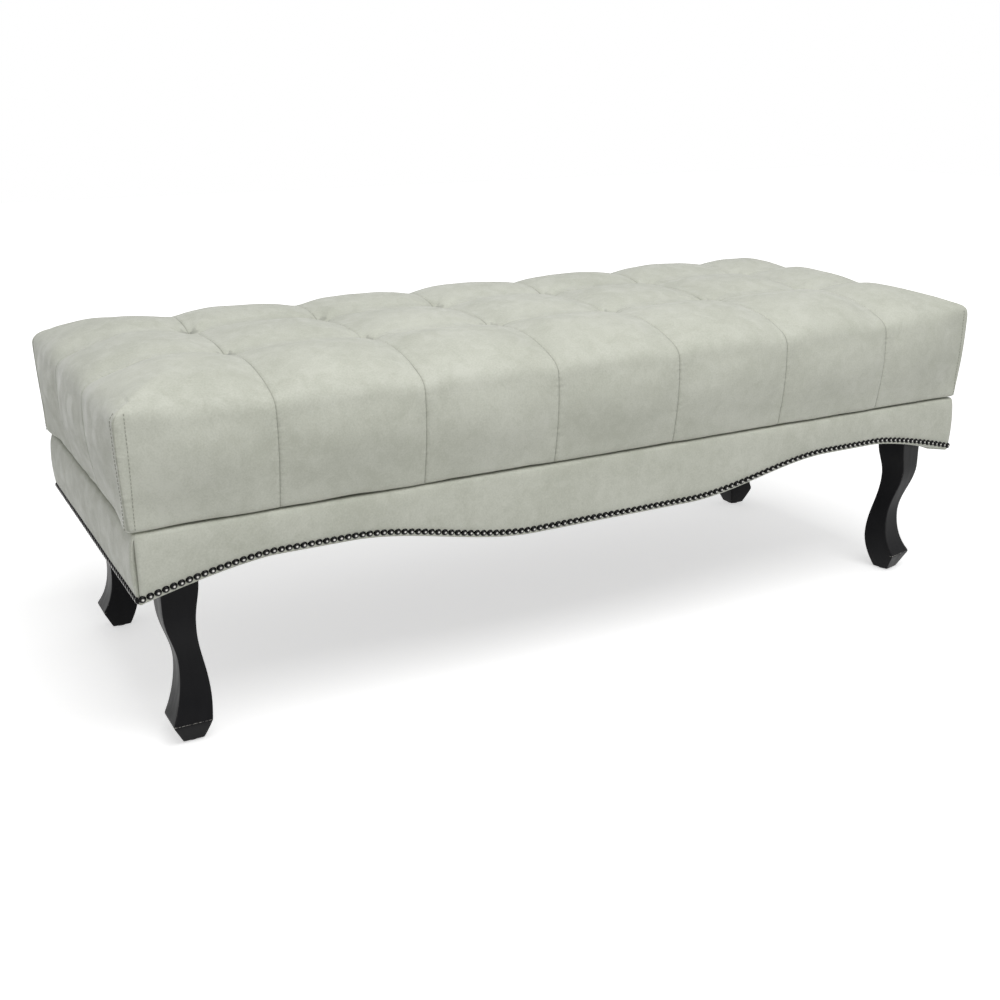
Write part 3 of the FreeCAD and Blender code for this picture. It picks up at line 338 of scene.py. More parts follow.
PINE = ((0.68, 0.52, 0.33, 1), (0.55, 0.37, 0.20, 1))
pine_along = make_wood("pine_along_bench", (3, 40, 40), *PINE)
pine_across = make_wood("pine_across_bench", (40, 3, 40), *PINE)
pine_upright = make_wood("pine_upright", (40, 40, 3), *PINE)
birch_ply = make_wood("birch_plywood", (4, 30, 250), (0.74, 0.62, 0.44, 1), (0.62, 0.48, 0.31, 1))


def make_speckled(name, light, dark, scale, depth, **settings):
    """Finish with one fine noise in its colour and its relief."""
    material, tree, shader = new_finish(name, light[:3], **settings)
    speckle = noise_at(tree, own_place(tree), scale, 3, 0.6)
    feed(tree, shader, Base_Color=blend(tree, remap(tree, speckle, 0.35, 0.65, 0, 1), dark, light))
    bump(tree, speckle, depth, shader)
    return material


cord_finish = make_speckled("waxed_cord", (0.78, 0.76, 0.68, 1), (0.58, 0.55, 0.47, 1), 1400, 0.0002,
                            Roughness=0.6)
zinc_finish = make_speckled("zinc_plating", (0.66, 0.66, 0.64, 1), (0.48, 0.48, 0.46, 1), 500, 0.0001,
                            Roughness=0.38, Metallic=1.0)
glide_finish = make_speckled("black_glide", (0.045, 0.045, 0.045, 1), (0.03, 0.03, 0.03, 1), 700, 0.0001,
                             Roughness=0.5)
felt_finish = make_speckled("black_nonwoven", (0.040, 0.040, 0.042, 1), (0.014, 0.014, 0.015, 1), 420, 0.0005,
                            Roughness=0.9)

lacquer, lacquer_tree, lacquer_shader = new_finish("black_lacquer", (0.008, 0.008, 0.009), Roughness=0.4,
                                                   Specular_IOR_Level=0.10)
# The pale colour mixed in at the edges is partly wear and partly painted highlight, the light line a crisp
# lacquer edge catches.
wear_and_highlight_mask = use_group(lacquer_tree, edge_wear_and_highlight_group, Scale=260.0, Amount=0.28).outputs["Mask"]
brushing = add(lacquer_tree, "ShaderNodeMapping", {"Vector": own_place(lacquer_tree),
                                                   "Scale": (90, 90, 9)}).outputs[0]
ripple = noise_at(lacquer_tree, brushing, 1.0, 3)
black = blend(lacquer_tree, ripple, (0.004, 0.004, 0.005, 1), (0.009, 0.009, 0.010, 1))
bare_and_highlight_colour = (0.30, 0.29, 0.27, 1)
feed(lacquer_tree, lacquer_shader, Base_Color=blend(lacquer_tree, wear_and_highlight_mask, black, bare_and_highlight_colour),
     Roughness=remap(lacquer_tree, ripple, 0.3, 0.7, 0.28, 0.42))
bump(lacquer_tree, ripple, 0.0003, lacquer_shader)

nail_finish, nail_tree, nail_shader = new_finish("dark_nickel", (0.05, 0.05, 0.05), Roughness=0.22,
                                                 Metallic=1.0)
# The bright colour on each crown is a painted highlight: the lamp's reflection in the glossy dark dome,
# broken up by the tarnish noise that also varies the roughness.
NICKEL_DARK, NICKEL_PAINTED_HIGHLIGHT = (0.012, 0.012, 0.012, 1), (0.62, 0.61, 0.58, 1)
crown = point_number(nail_tree, "crown")
tarnish_and_highlight_noise = noise_at(nail_tree, own_place(nail_tree), 500, 2)
painted_crown_highlight = remap(nail_tree, plus(nail_tree, crown, times(nail_tree, tarnish_and_highlight_noise, 0.3)), 0.72, 1.10, 0, 1)
feed(nail_tree, nail_shader, Base_Color=blend(nail_tree, painted_crown_highlight, NICKEL_DARK, NICKEL_PAINTED_HIGHLIGHT),
     Roughness=remap(nail_tree, tarnish_and_highlight_noise, 0.3, 0.7, 0.16, 0.34))
print("finishes:", len(bpy.data.materials))

# %% [markdown]
# ## The tufted cushion: a grid that follows the seams
# A cushion can be inflated from a plain box, but then its seams end up anywhere. Here the skin is a grid
# laid out like the real cover, seven panels by three with sides, so every seam is a line of the grid. Each
# point is then dropped onto the frame's cushion solid by a ray, from outside inwards. The seams of the real
# bench aren't quite evenly spaced, so the grid is stretched a little from the solid's seams to those seen. At
# each corner the cloth is drawn to the upright seam, which holds it nearly straight.

# %% Layout of the cover
HALF_LENGTH, HALF_DEPTH = 0.668, 0.266
APRON_TOP = 0.3065
CUSHION_FOOT = 0.3092
EDGE_TOP = 0.4745
CELL = 0.0072
FAN = 0.030
SOLID_COLUMNS = [-0.494 + 0.1976 * k for k in range(6)]
SEEN_COLUMNS = [-0.4887, -0.2935, -0.0975, 0.1007, 0.2960, 0.4940]
ROWS = [-0.0893, 0.0893]


def grid_lines(solid_seams, seen_seams, half):
    """Stations along one way: places on the solid, the same places as seen, and which ones are seams."""
    solid_ends = [-half, *solid_seams, half]
    seen_ends = [-half, *seen_seams, half]
    solid, seen = [-half], [-half]
    for k in range(len(solid_ends) - 1):
        cells = round((solid_ends[k + 1] - solid_ends[k]) / CELL)
        for step in range(1, cells + 1):
            share = step / cells
            solid.append(solid_ends[k] + (solid_ends[k + 1] - solid_ends[k]) * share)
            seen.append(seen_ends[k] + (seen_ends[k + 1] - seen_ends[k]) * share)
    return solid, seen


solid_x, seen_x = grid_lines(SOLID_COLUMNS, SEEN_COLUMNS, HALF_LENGTH)
solid_y, seen_y = grid_lines(ROWS, ROWS, HALF_DEPTH)
rise_steps = round((EDGE_TOP - CUSHION_FOOT) / CELL)
solid_z = [CUSHION_FOOT + (EDGE_TOP - CUSHION_FOOT) * k / rise_steps for k in range(rise_steps + 1)]
last_x, last_y, last_z = len(solid_x) - 1, len(solid_y) - 1, len(solid_z) - 1
print("cover grid:", last_x, "by", last_y, "by", last_z, "cells")

# %% Drop the grid onto the cushion solid
def merged_copy(node):
    """The node's mesh for editing, with its loose triangles joined."""
    joined = bmesh.new()
    joined.from_mesh(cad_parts[node].data)
    bmesh.ops.remove_doubles(joined, verts=joined.verts, dist=1e-6)
    return joined


solid_skin = merged_copy("quilted_cover")
solid_tree = BVHTree.FromBMesh(solid_skin)


def on_solid(x, y, z):
    """Point of the solid's outside that faces a point of the plain box."""
    core = Vector((max(-HALF_LENGTH + FAN, min(HALF_LENGTH - FAN, x)),
                   max(-HALF_DEPTH + FAN, min(HALF_DEPTH - FAN, y)), min(z, EDGE_TOP - FAN)))
    way = (Vector((x, y, z)) - core).normalized()
    hit = solid_tree.ray_cast(core + 0.3 * way, -way, 0.35)[0]
    return hit if hit else Vector((x, y, z))


FACE_X, FACE_Y = 0.670, 0.268
SHOULDER = 0.440
CORNER_REACH = 0.080
OUT_AT_FOOT, MORE_AT_SHOULDER = 0.0005, 0.0045
LEFT_END_OUT = 0.0050
FADE_BELOW_SHOULDER = 0.04


def smoothly(share):
    return share * share * (3 - 2 * share)


def drawn_in(spot, x, y):
    """Draws the cloth to the upright corner seams, which hold it nearly straight."""
    away = max(HALF_LENGTH - abs(x), HALF_DEPTH - abs(y))
    share = smoothly(max(0.0, 1 - away / CORNER_REACH))
    straight = OUT_AT_FOOT + MORE_AT_SHOULDER * min(1.0, (spot.z - APRON_TOP) / (SHOULDER - APRON_TOP))
    over_x, over_y = abs(spot.x) - FACE_X - straight, abs(spot.y) - FACE_Y - straight
    if x < 0:
        over_x -= LEFT_END_OUT
    filling = max(0.0, min(1.0, (SHOULDER - spot.z) / FADE_BELOW_SHOULDER))
    if over_x < 0:
        over_x *= filling * (abs(x) == HALF_LENGTH)
    if over_y < 0:
        over_y *= filling * (abs(y) == HALF_DEPTH)
    spot.x -= math.copysign(1, spot.x) * over_x * share
    spot.y -= math.copysign(1, spot.y) * over_y * share
    return spot


# seam_run also tells the seams apart: columns count from 0, rows from 20 and upright corner seams from 40.
RUN_STEP, ROW_RUN, CORNER_RUN = 3.0, 20, 40
SEAM_STARTS = 0.030
index_of, points, seam_gap, seam_run, held = {}, [], [], [], []
for i, x in enumerate(solid_x):
    for j, y in enumerate(solid_y):
        for k, z in enumerate(solid_z):
            if k < last_z and 0 < i < last_x and 0 < j < last_y:
                continue
            hit = drawn_in(on_solid(x, y, z), x, y)
            hit.x += seen_x[i] - x
            index_of[i, j, k] = len(points)
            points.append(hit)
            below = EDGE_TOP - z
            around_y = seen_y[j] + (math.copysign(below, y) if j in (0, last_y) else 0)
            around_x = seen_x[i] + (math.copysign(below, x) if i in (0, last_x) else 0)
            gaps = []
            if k == last_z or j in (0, last_y):
                gaps += [(abs(seen_x[i] - seam), RUN_STEP * n + around_y)
                         for n, seam in enumerate(SEEN_COLUMNS)]
            if k == last_z or i in (0, last_x):
                gaps += [(abs(seen_y[j] - seam), ROW_RUN + RUN_STEP * n + around_x)
                         for n, seam in enumerate(ROWS)]
            if i in (0, last_x) or j in (0, last_y):
                corner = HALF_LENGTH - abs(seen_x[i]) + HALF_DEPTH - abs(seen_y[j])
                corner += max(0, SEAM_STARTS - below) / 5
                gaps.append((corner, CORNER_RUN + RUN_STEP * (2 * (x > 0) + (y > 0)) + z))
            nearest = min(gaps)
            seam_gap.append(nearest[0])
            seam_run.append(nearest[1])
            held.append(1.0 if nearest[0] < 1e-6 or k < 2 else 0.0)


def loop_cells(lines):
    return range(len(lines) - 1)


quads = []
for i in loop_cells(solid_x):
    for j in loop_cells(solid_y):
        quads.append([(i, j, last_z), (i + 1, j, last_z), (i + 1, j + 1, last_z), (i, j + 1, last_z)])
for k in loop_cells(solid_z):
    for i in loop_cells(solid_x):
        quads.append([(i, 0, k), (i + 1, 0, k), (i + 1, 0, k + 1), (i, 0, k + 1)])
        quads.append([(i, last_y, k + 1), (i + 1, last_y, k + 1), (i + 1, last_y, k), (i, last_y, k)])
    for j in loop_cells(solid_y):
        quads.append([(last_x, j, k), (last_x, j + 1, k), (last_x, j + 1, k + 1), (last_x, j, k + 1)])
        quads.append([(0, j, k + 1), (0, j + 1, k + 1), (0, j + 1, k), (0, j, k)])
faces = [[index_of[corner] for corner in quad] for quad in quads]
print("cushion grid:", len(points), "points,", len(faces), "cells")

# %% [markdown]
# The underside rests on the seat board, so it is flat, and it steps in a little above the apron: that narrow
# step is the dark line one sees between cushion and apron. It closes the skin, which the air pressure of the
# next step needs.

# %% Underside of the cushion
STEP_IN = 0.016
FOOT_X, FOOT_Y = 0.667, 0.265
FAR_FROM_SEAMS = 0.2
rim = [(i, 0, 0) for i in range(last_x)] + [(last_x, j, 0) for j in range(last_y)]
rim += [(i, last_y, 0) for i in range(last_x, 0, -1)] + [(0, j, 0) for j in range(last_y, 0, -1)]
ring = [index_of[corner] for corner in rim]
for inset, height in ((0.006, CUSHION_FOOT - 0.0006), (STEP_IN, CUSHION_FOOT - 0.0006), (STEP_IN, APRON_TOP)):
    inner = []
    for corner in rim:
        low = points[index_of[corner]]
        inner.append(len(points))
        points.append(Vector((low.x * (FOOT_X - inset) / FOOT_X, low.y * (FOOT_Y - inset) / FOOT_Y, height)))
        seam_gap.append(FAR_FROM_SEAMS)
        seam_run.append(0.0)
        held.append(1.0)
    for n in range(len(ring)):
        after = (n + 1) % len(ring)
        faces.append([ring[n], inner[n], inner[after], ring[after]])
    ring = inner
front, back = ring[:last_x + 1], ring[last_x + last_y:2 * last_x + last_y + 1][::-1]
for n in range(1, last_x - 1):
    faces.append([front[n], back[n], back[n + 1], front[n + 1]])
right_side = ring[last_x:last_x + last_y + 1]
left_side = [*ring[2 * last_x + last_y:], ring[0]]
faces.append([front[last_x - 1], back[last_x - 1], *reversed(right_side)])
faces.append([back[1], front[1], *reversed(left_side)])
print("underside closed at", APRON_TOP, "m")


def mesh_object(name, corners, cells, finish=None, smooth=True):
    """Object at the origin from points and faces."""
    mesh = bpy.data.meshes.new(name)
    mesh.from_pydata([tuple(corner) for corner in corners], [], cells)
    mesh.validate()
    if smooth:
        mesh.shade_smooth()
    if finish:
        mesh.materials.append(finish)
    return new_object(name, mesh)


def number_layer(mesh, name, numbers):
    layer = mesh.attributes.new(name, "FLOAT", "POINT")
    layer.data.foreach_set("value", np.asarray(numbers, dtype=np.float32))


cushion = mesh_object("tufted_cushion", points, faces, cushion_cloth)
number_layer(cushion.data, "seam_gap", seam_gap)
number_layer(cushion.data, "seam_run", seam_run)
check = bmesh.new()
check.from_mesh(cushion.data)
open_edges = sum(1 for edge in check.edges if len(edge.link_faces) != 2)
print("cushion skin: open edges", open_edges, "volume", round(check.calc_volume(signed=True), 4), "m3")
check.free()

# %% [markdown]
# ## Inflate the cushion
# The panels could be left as the solid has them, but real panels strain between their seams. Blender's cloth
# does that: the seams are pinned, the cloth has a little spare area, and air pressure pushes it out with
# gravity off. How far a point may move is capped, so the cushion keeps its size, and the moves are averaged
# with their neighbours', so that short wrinkles go and the broad swell stays.

# %% Cloth with air pressure
SPARE_CLOTH = -0.035
PRESSURE = 4.0
MOST_OUT, MOST_IN, MOST_SIDEWAYS = 0.0045, 0.0035, 0.003
USUAL_MOVE = 0.0022
SMOOTHING_ROUNDS = 16
LAST_FRAME = 20
CLOTH = {"quality": 6, "mass": 0.25, "tension_stiffness": 25, "compression_stiffness": 12,
         "shear_stiffness": 8, "bending_stiffness": 1.2, "vertex_group_mass": "sewn",
         "shrink_min": SPARE_CLOTH, "use_pressure": True, "uniform_pressure_force": PRESSURE}


def numbers_in(rows, key, width=1):
    """Numbers of one kind for all points, as an array."""
    flat = np.empty(len(rows) * width, dtype=np.float32)
    rows.foreach_get(key, flat)
    return flat.reshape(-1, width).astype(float) if width > 1 else flat.astype(float)


def coordinates(mesh):
    return numbers_in(mesh.vertices, "co", 3)


def normals(mesh):
    return numbers_in(mesh.vertex_normals, "vector", 3)


def set_coordinates(mesh, spots):
    mesh.vertices.foreach_set("co", np.asarray(spots, dtype=np.float32).ravel())
    mesh.update()


def evaluated_mesh(thing):
    graph = bpy.context.evaluated_depsgraph_get()
    return bpy.data.meshes.new_from_object(thing.evaluated_get(graph), preserve_all_data_layers=True,
                                           depsgraph=graph)


def inflate(thing, pin_weights):
    group = thing.vertex_groups.new(name="sewn")
    for n, weight in enumerate(pin_weights):
        if weight > 0:
            group.add([n], weight, "REPLACE")
    cloth = thing.modifiers.new("air", "CLOTH")
    for setting, given in CLOTH.items():
        setattr(cloth.settings, setting, given)
    cloth.settings.effector_weights.gravity = 0
    cloth.collision_settings.use_collision = False
    for step in range(1, LAST_FRAME + 1):
        scene.frame_set(step)
    blown = thing.evaluated_get(bpy.context.evaluated_depsgraph_get())
    spots = coordinates(blown.to_mesh())
    blown.to_mesh_clear()
    thing.modifiers.clear()
    thing.vertex_groups.clear()
    scene.frame_set(1)
    return spots


def without_wrinkles(mesh, moves, free, rounds):
    """Averages each move with its neighbours', so that short wrinkles go and the broad swell stays."""
    ends = np.empty(len(mesh.edges) * 2, dtype=np.int32)
    mesh.edges.foreach_get("vertices", ends)
    first, second = ends.reshape(-1, 2).T
    number = np.bincount(ends, minlength=len(moves))[:, None]
    for _ in range(rounds):
        total = np.zeros_like(moves)
        np.add.at(total, first, moves[second])
        np.add.at(total, second, moves[first])
        moves = 0.5 * (moves + total / number) * free
    return moves


start_spots = coordinates(cushion.data)
outward = normals(cushion.data)
moved = inflate(cushion, held) - start_spots
along_normal = (moved * outward).sum(axis=1)
print("cloth moved out by", round(float(along_normal.max()) * 1000, 1), "mm at most, middle",
      round(float(np.median(along_normal)) * 1000, 1), "mm")
loose = np.asarray(held) == 0
middle = float(np.median(along_normal[loose]))
spread = float(np.std(along_normal[loose]))
print("cloth: middle", round(middle * 1000, 1), "mm, spread", round(spread * 1000, 1), "mm")
eased = (along_normal - middle) * min(1.0, USUAL_MOVE / max(spread, 1e-6))
kept = np.clip(eased, -MOST_IN, MOST_OUT)
sideways = moved - along_normal[:, None] * outward
limit = np.clip(MOST_SIDEWAYS / np.maximum(np.linalg.norm(sideways, axis=1), 1e-9), 0, 1)
free = (1 - np.asarray(held))[:, None]
moves = (kept[:, None] * outward + sideways * limit[:, None]) * free
set_coordinates(cushion.data, start_spots + without_wrinkles(cushion.data, moves, free, SMOOTHING_ROUNDS))

# %% [markdown]
# ## Seams and folds
# One subdivision rounds the cloth between grid lines, and also rounds the seams, so the seams are cut after
# it: the rows of points beside each seam are drawn in towards it and the seam itself is sunk, which makes a
# narrow crease. Gentle unevenness and the creases of the front shoulder come from noise, and short folds run
# out from each tuft. The real cushion is fuller at the back right, so the crowns rise a little there.

# %% Subdivide, then cut the seams
def subdivided(thing, levels):
    modifier = thing.modifiers.new("rounding", "SUBSURF")
    modifier.levels = levels
    modifier.render_levels = levels
    finer = evaluated_mesh(thing)
    thing.modifiers.clear()
    thing.data = finer


def numbers_of(mesh, name):
    return numbers_in(mesh.attributes[name].data, "value")


subdivided(cushion, 1)
cushion.data.name = "tufted_cushion"
cushion.data.shade_smooth()
spots = coordinates(cushion.data)
outward = normals(cushion.data)
gap_now = numbers_of(cushion.data, "seam_gap")

SEAM_DEPTH, CORNER_SEAM_SHARE = 0.0017, 0.5
POINT_GAP = CELL / 2
DRAWN_TO_SEAM = [0, 0.0019, 0.0016, 0.0008, 0]
SAME_SEAM = 0.0025
beside = np.interp(gap_now / POINT_GAP, range(len(DRAWN_TO_SEAM)), DRAWN_TO_SEAM)
toward = np.zeros_like(spots)
for seam in SEEN_COLUMNS:
    near = np.abs(np.abs(spots[:, 0] - seam) - gap_now) < SAME_SEAM
    toward[near, 0] = -np.sign(spots[near, 0] - seam)
for seam in ROWS:
    near = (np.abs(np.abs(spots[:, 1] - seam) - gap_now) < SAME_SEAM) & (toward[:, 0] == 0)
    toward[near, 1] = -np.sign(spots[near, 1] - seam)
spots += toward * beside[:, None]
sink = np.interp(gap_now / POINT_GAP, [0, 0.5, 1], [1.0, 0.45, 0]) * SEAM_DEPTH
sink[numbers_of(cushion.data, "seam_run") > CORNER_RUN - 1] *= CORNER_SEAM_SHARE


def uneven(spot, size, seed):
    return noise.noise(Vector((spot[0] / size + seed, spot[1] / size, spot[2] / size)))


TUFTS = [(x, y) for x in SEEN_COLUMNS for y in ROWS]
FINE_HEIGHT, FINE_LENGTH, FINE_WIDTH, SHOULDER_FROM = 0.0011, 0.045, 0.011, 0.43
CREASED = [(0.205, -0.235, 0.060), (-0.600, -0.215, 0.050), (-0.400, -0.235, 0.045), (0.560, -0.225, 0.050)]


def fine_creases(spot):
    """Short slanting creases on the front shoulder, where the cloth was pulled over the foam."""
    depth = 0.0
    for x, y, reach in CREASED:
        off_x, off_y = spot[0] - x, spot[1] - y
        share = math.exp(-(off_x * off_x + off_y * off_y) / (reach * reach)) * (spot[2] > SHOULDER_FROM)
        along, across = 0.8 * off_x + 0.6 * off_y, 0.8 * off_y - 0.6 * off_x
        depth += share * noise.noise(Vector((along / FINE_LENGTH, across / FINE_WIDTH, x * 9)))
    return FINE_HEIGHT * depth


FOLD_REACH, FOLD_START, FOLD_HEIGHT = 0.060, 0.022, 0.0052
TUFT_DEPTH, TUFT_RADIUS = 0.0058, 0.022
SWELLS = ((0.0016, 0.085, 3), (0.0007, 0.034, 17))
TOP_FROM, SEAM_CALM = 0.455, 0.02
swell = np.zeros(len(spots))
for n, spot in enumerate(spots):
    soft = min(1.0, gap_now[n] / SEAM_CALM)
    uneven_now = sum(most * uneven(spot, size, seed) for most, size, seed in SWELLS)
    swell[n] += soft * (uneven_now + fine_creases(spot))
    if spot[2] > TOP_FROM:
        x, y = min(TUFTS, key=lambda tuft: (tuft[0] - spot[0]) ** 2 + (tuft[1] - spot[1]) ** 2)
        reach = math.hypot(spot[0] - x, spot[1] - y)
        if reach < FOLD_REACH:
            turn_at = math.atan2(spot[1] - y, spot[0] - x)
            folds = noise.noise(Vector((math.cos(turn_at) * 3.1 + x * 50, math.sin(turn_at) * 3.1, y * 40)))
            fade = (1 - reach / FOLD_REACH) * min(1.0, (reach / FOLD_START) ** 1.5)
            swell[n] += FOLD_HEIGHT * folds * fade
            swell[n] -= TUFT_DEPTH * math.exp(-(reach / TUFT_RADIUS) ** 2)
spots += outward * (swell - sink)[:, None]


def ramp(given, start, length):
    return np.clip((given - start) / length, 0, 1)


FULLER_ALONG = ([-0.67, -0.30, -0.10, 0.10, 0.40, 0.67], [0.0015, 0.0015, 0.0040, 0.0065, 0.0085, 0.0095])
SHARE_ACROSS = ([-0.27, -0.18, 0.0, 0.18, 0.27], [0, 0.15, 0.7, 1, 1])
RIM_FILLING, RIM_REACH, PANEL_SWELL, PANEL_REACH = 0.003, 0.03, 0.003, 0.032
fuller = np.interp(spots[:, 0], *FULLER_ALONG) * np.interp(spots[:, 1], *SHARE_ACROSS)
at_rim = np.maximum(ramp(spots[:, 1], 0.13, 0.06), ramp(spots[:, 0], 0.56, 0.05))
fuller += RIM_FILLING * np.exp(-(gap_now / RIM_REACH) ** 2) * at_rim
fuller += PANEL_SWELL * (1 - np.exp(-(gap_now / PANEL_REACH) ** 2))
spots[:, 2] += fuller * ramp(spots[:, 2], 0.40, 0.06)
set_coordinates(cushion.data, spots)
print("cushion:", len(cushion.data.polygons), "faces, top at", round(float(spots[:, 2].max()), 4))

# %% [markdown]
# ## Apron covers
# Each side of the apron is a board wrapped in thin padding and cloth. The section is simple and the lower
# edge waves, so the cover is a sweep: a profile from the rail's inner face over the top, down the front and
# round the lower edge, repeated at columns along the side. At the corners the outline is rounded and the
# four covers meet in an upright seam on the mitre.

# %% Wave of the lower edge
CORNER_EDGE, ARCH_EDGE, BELLY_EDGE = 0.2165, 0.2495, 0.2120
BELLY_HALF, ARCH_START, ARCH_END = 0.130, 0.400, 0.500
SIDE_LENGTHS = {"front": 2 * FACE_X, "right": 2 * FACE_Y, "back": 2 * FACE_X, "left": 2 * FACE_Y}
SIDE_TURNS = {"front": 0, "right": 90, "back": 180, "left": 270}
CORNERS = {"front": (-FACE_X, -FACE_Y), "right": (FACE_X, -FACE_Y), "back": (FACE_X, FACE_Y),
           "left": (-FACE_X, FACE_Y)}
NAIL_RISE = 0.0075
END_NAIL_HEIGHT = 0.22345


def lower_edge(side, along):
    """Height of the lower edge at a distance along a side."""
    if side in ("left", "right"):
        return CORNER_EDGE
    distance = min(abs(along - FACE_X), FACE_X)
    if distance <= BELLY_HALF:
        return BELLY_EDGE
    if distance <= ARCH_START:
        share = smoothly((distance - BELLY_HALF) / (ARCH_START - BELLY_HALF))
        return BELLY_EDGE + (ARCH_EDGE - BELLY_EDGE) * share
    if distance <= ARCH_END:
        return ARCH_EDGE
    return ARCH_EDGE - (ARCH_EDGE - CORNER_EDGE) * ((distance - ARCH_END) / (FACE_X - ARCH_END)) ** 1.4


def nail_height(side, along):
    return END_NAIL_HEIGHT if side in ("left", "right") else lower_edge(side, along) + NAIL_RISE


def side_place(side):
    """Matrix from a side's own frame, X along it and Y inwards, to the bench."""
    x, y = CORNERS[side]
    return Matrix.Translation((x, y, 0)) @ Matrix.Rotation(math.radians(SIDE_TURNS[side]), 4, "Z")


print("lower edge from", BELLY_EDGE, "to", ARCH_EDGE, "m")

# %% Sweep the four covers
CORNER_ROUND = 0.0075
COLUMN = 0.0075
TURN_IN = 0.024
FACE_ROWS = 13
FULLNESS = {"front": 0.0022, "right": 0.0040, "back": 0.0022, "left": 0.0045}
ARC_STEPS = 4
MITRE_SINK = 0.0006
RIPPLE_HEIGHT, RIPPLE_SIZE, RIPPLE_DEPTH, RIPPLE_ABOVE = 0.0007, 0.07, 0.004, 0.012


def cover_profile(low, nail, fullness):
    """Closed section as (depth behind the face, height): the cloth outside, the padding's back inside."""
    top = APRON_TOP
    outside = [(TURN_IN, top), (0.012, top), (0.0065, top), (0.0032, top - 0.0007), (0.0010, top - 0.0026),
               (0.0, top - 0.0056)]
    face_top, face_low = top - 0.0056, nail
    for k in range(1, FACE_ROWS):
        share = k / FACE_ROWS
        full = fullness * math.sin(math.pi * share) ** 0.6
        outside.append((-full, face_top + (face_low - face_top) * share))
    outside += [(0.0009, nail), (0.0, nail - 0.0036), (0.0004, low + 0.0020), (0.0014, low + 0.0007),
                (0.0032, low), (0.010, low), (TURN_IN, low)]
    inside = [(TURN_IN, low + 0.002), (0.0082, low + 0.002), (0.0082, top - 0.002), (TURN_IN, top - 0.002)]
    return outside + inside


def column_places(length):
    """Each column as (where, along): a share of an end's arc, or a distance along the straight part."""
    straight = round((length - 2 * CORNER_ROUND) / COLUMN)
    places = [("start", k / ARC_STEPS) for k in range(ARC_STEPS)]
    places += [("middle", k / straight) for k in range(straight + 1)]
    places += [("end", k / ARC_STEPS) for k in range(1, ARC_STEPS + 1)]
    return places


def inset_outline(where, share, depth, length):
    """Point of the side's outline, rounded at its corners, at a depth behind the face."""
    radius = max(CORNER_ROUND - depth, 0.0012)
    if where == "middle":
        return depth + radius + (length - 2 * (depth + radius)) * share, depth
    angle = math.radians(45 + 45 * (share if where == "start" else 1 - share))
    across = depth + radius * (1 - math.cos(angle))
    back = depth + radius * (1 - math.sin(angle))
    return (across, back) if where == "start" else (length - across, back)


def tube_cells(rings, count):
    """Faces of a closed tube: walls between rings of points, then the first and the last ring as caps."""
    found = []
    for low in range(0, (rings - 1) * count, count):
        for k in range(count):
            after = (k + 1) % count
            found.append([low + k, low + after, low + count + after, low + count + k])
    found.append(list(range(count))[::-1])
    found.append([(rings - 1) * count + k for k in range(count)])
    return found


def make_cover(side):
    length = SIDE_LENGTHS[side]
    to_bench = side_place(side)
    places = column_places(length)
    corners = []
    for n, (where, share) in enumerate(places):
        along = inset_outline(where, share, 0.0, length)[0]
        section = cover_profile(lower_edge(side, along), nail_height(side, along), FULLNESS[side])
        seam_sink = MITRE_SINK if n in (0, len(places) - 1) else 0.0
        for depth, height in section:
            x, y = inset_outline(where, share, max(depth, 0) + seam_sink, length)
            spot = to_bench @ Vector((x, y + min(depth, 0), height))
            if depth < RIPPLE_DEPTH and height > section[-6][1] + RIPPLE_ABOVE:
                ripple = RIPPLE_HEIGHT * uneven(spot, RIPPLE_SIZE, 31)
                spot += to_bench.to_3x3() @ Vector((0, -ripple, 0))
            corners.append(spot)
    cells = tube_cells(len(places), len(corners) // len(places))
    made = mesh_object(side + "_apron_cover", corners, cells, apron_cloth)
    made.data.set_sharp_from_angle(angle=math.radians(50))
    return made


covers = {side: make_cover(side) for side in SIDE_LENGTHS}


def outward_check(thing):
    """Turns a closed mesh the right way round; says what volume it holds."""
    shape = bmesh.new()
    shape.from_mesh(thing.data)
    loose = sum(1 for edge in shape.edges if len(edge.link_faces) != 2)
    if shape.calc_volume(signed=True) < 0:
        bmesh.ops.reverse_faces(shape, faces=shape.faces)
        shape.to_mesh(thing.data)
    held_volume = shape.calc_volume(signed=True)
    shape.free()
    print(thing.name, "open edges", loose, "volume", round(held_volume * 1e6, 1), "cm3")


outward_check(cushion)
for cover in covers.values():
    outward_check(cover)

# %% [markdown]
# ## Things in rows: nails, stitches and staples
# Nearly four hundred nails could be copied in a loop, but a Geometry Nodes tree says it better: resample a
# path, put one shape at each point, tilt each a little so that no two shine alike, realize and set the
# material. The same tree serves the stitches and the staples with other inputs.

# %% Geometry Nodes tree for a row along a path
ROW_INPUTS = [("Path", "NodeSocketGeometry", None), ("Shape", "NodeSocketObject", None),
              ("Count", "NodeSocketInt", 10), ("Spacing", "NodeSocketFloat", 0.01),
              ("By Spacing", "NodeSocketBool", False), ("Facing", "NodeSocketVector", (0, 0, 1)),
              ("Along Path", "NodeSocketBool", False), ("Tilt", "NodeSocketFloat", 0.0),
              ("Seed", "NodeSocketInt", 1), ("Finish", "NodeSocketMaterial", None)]


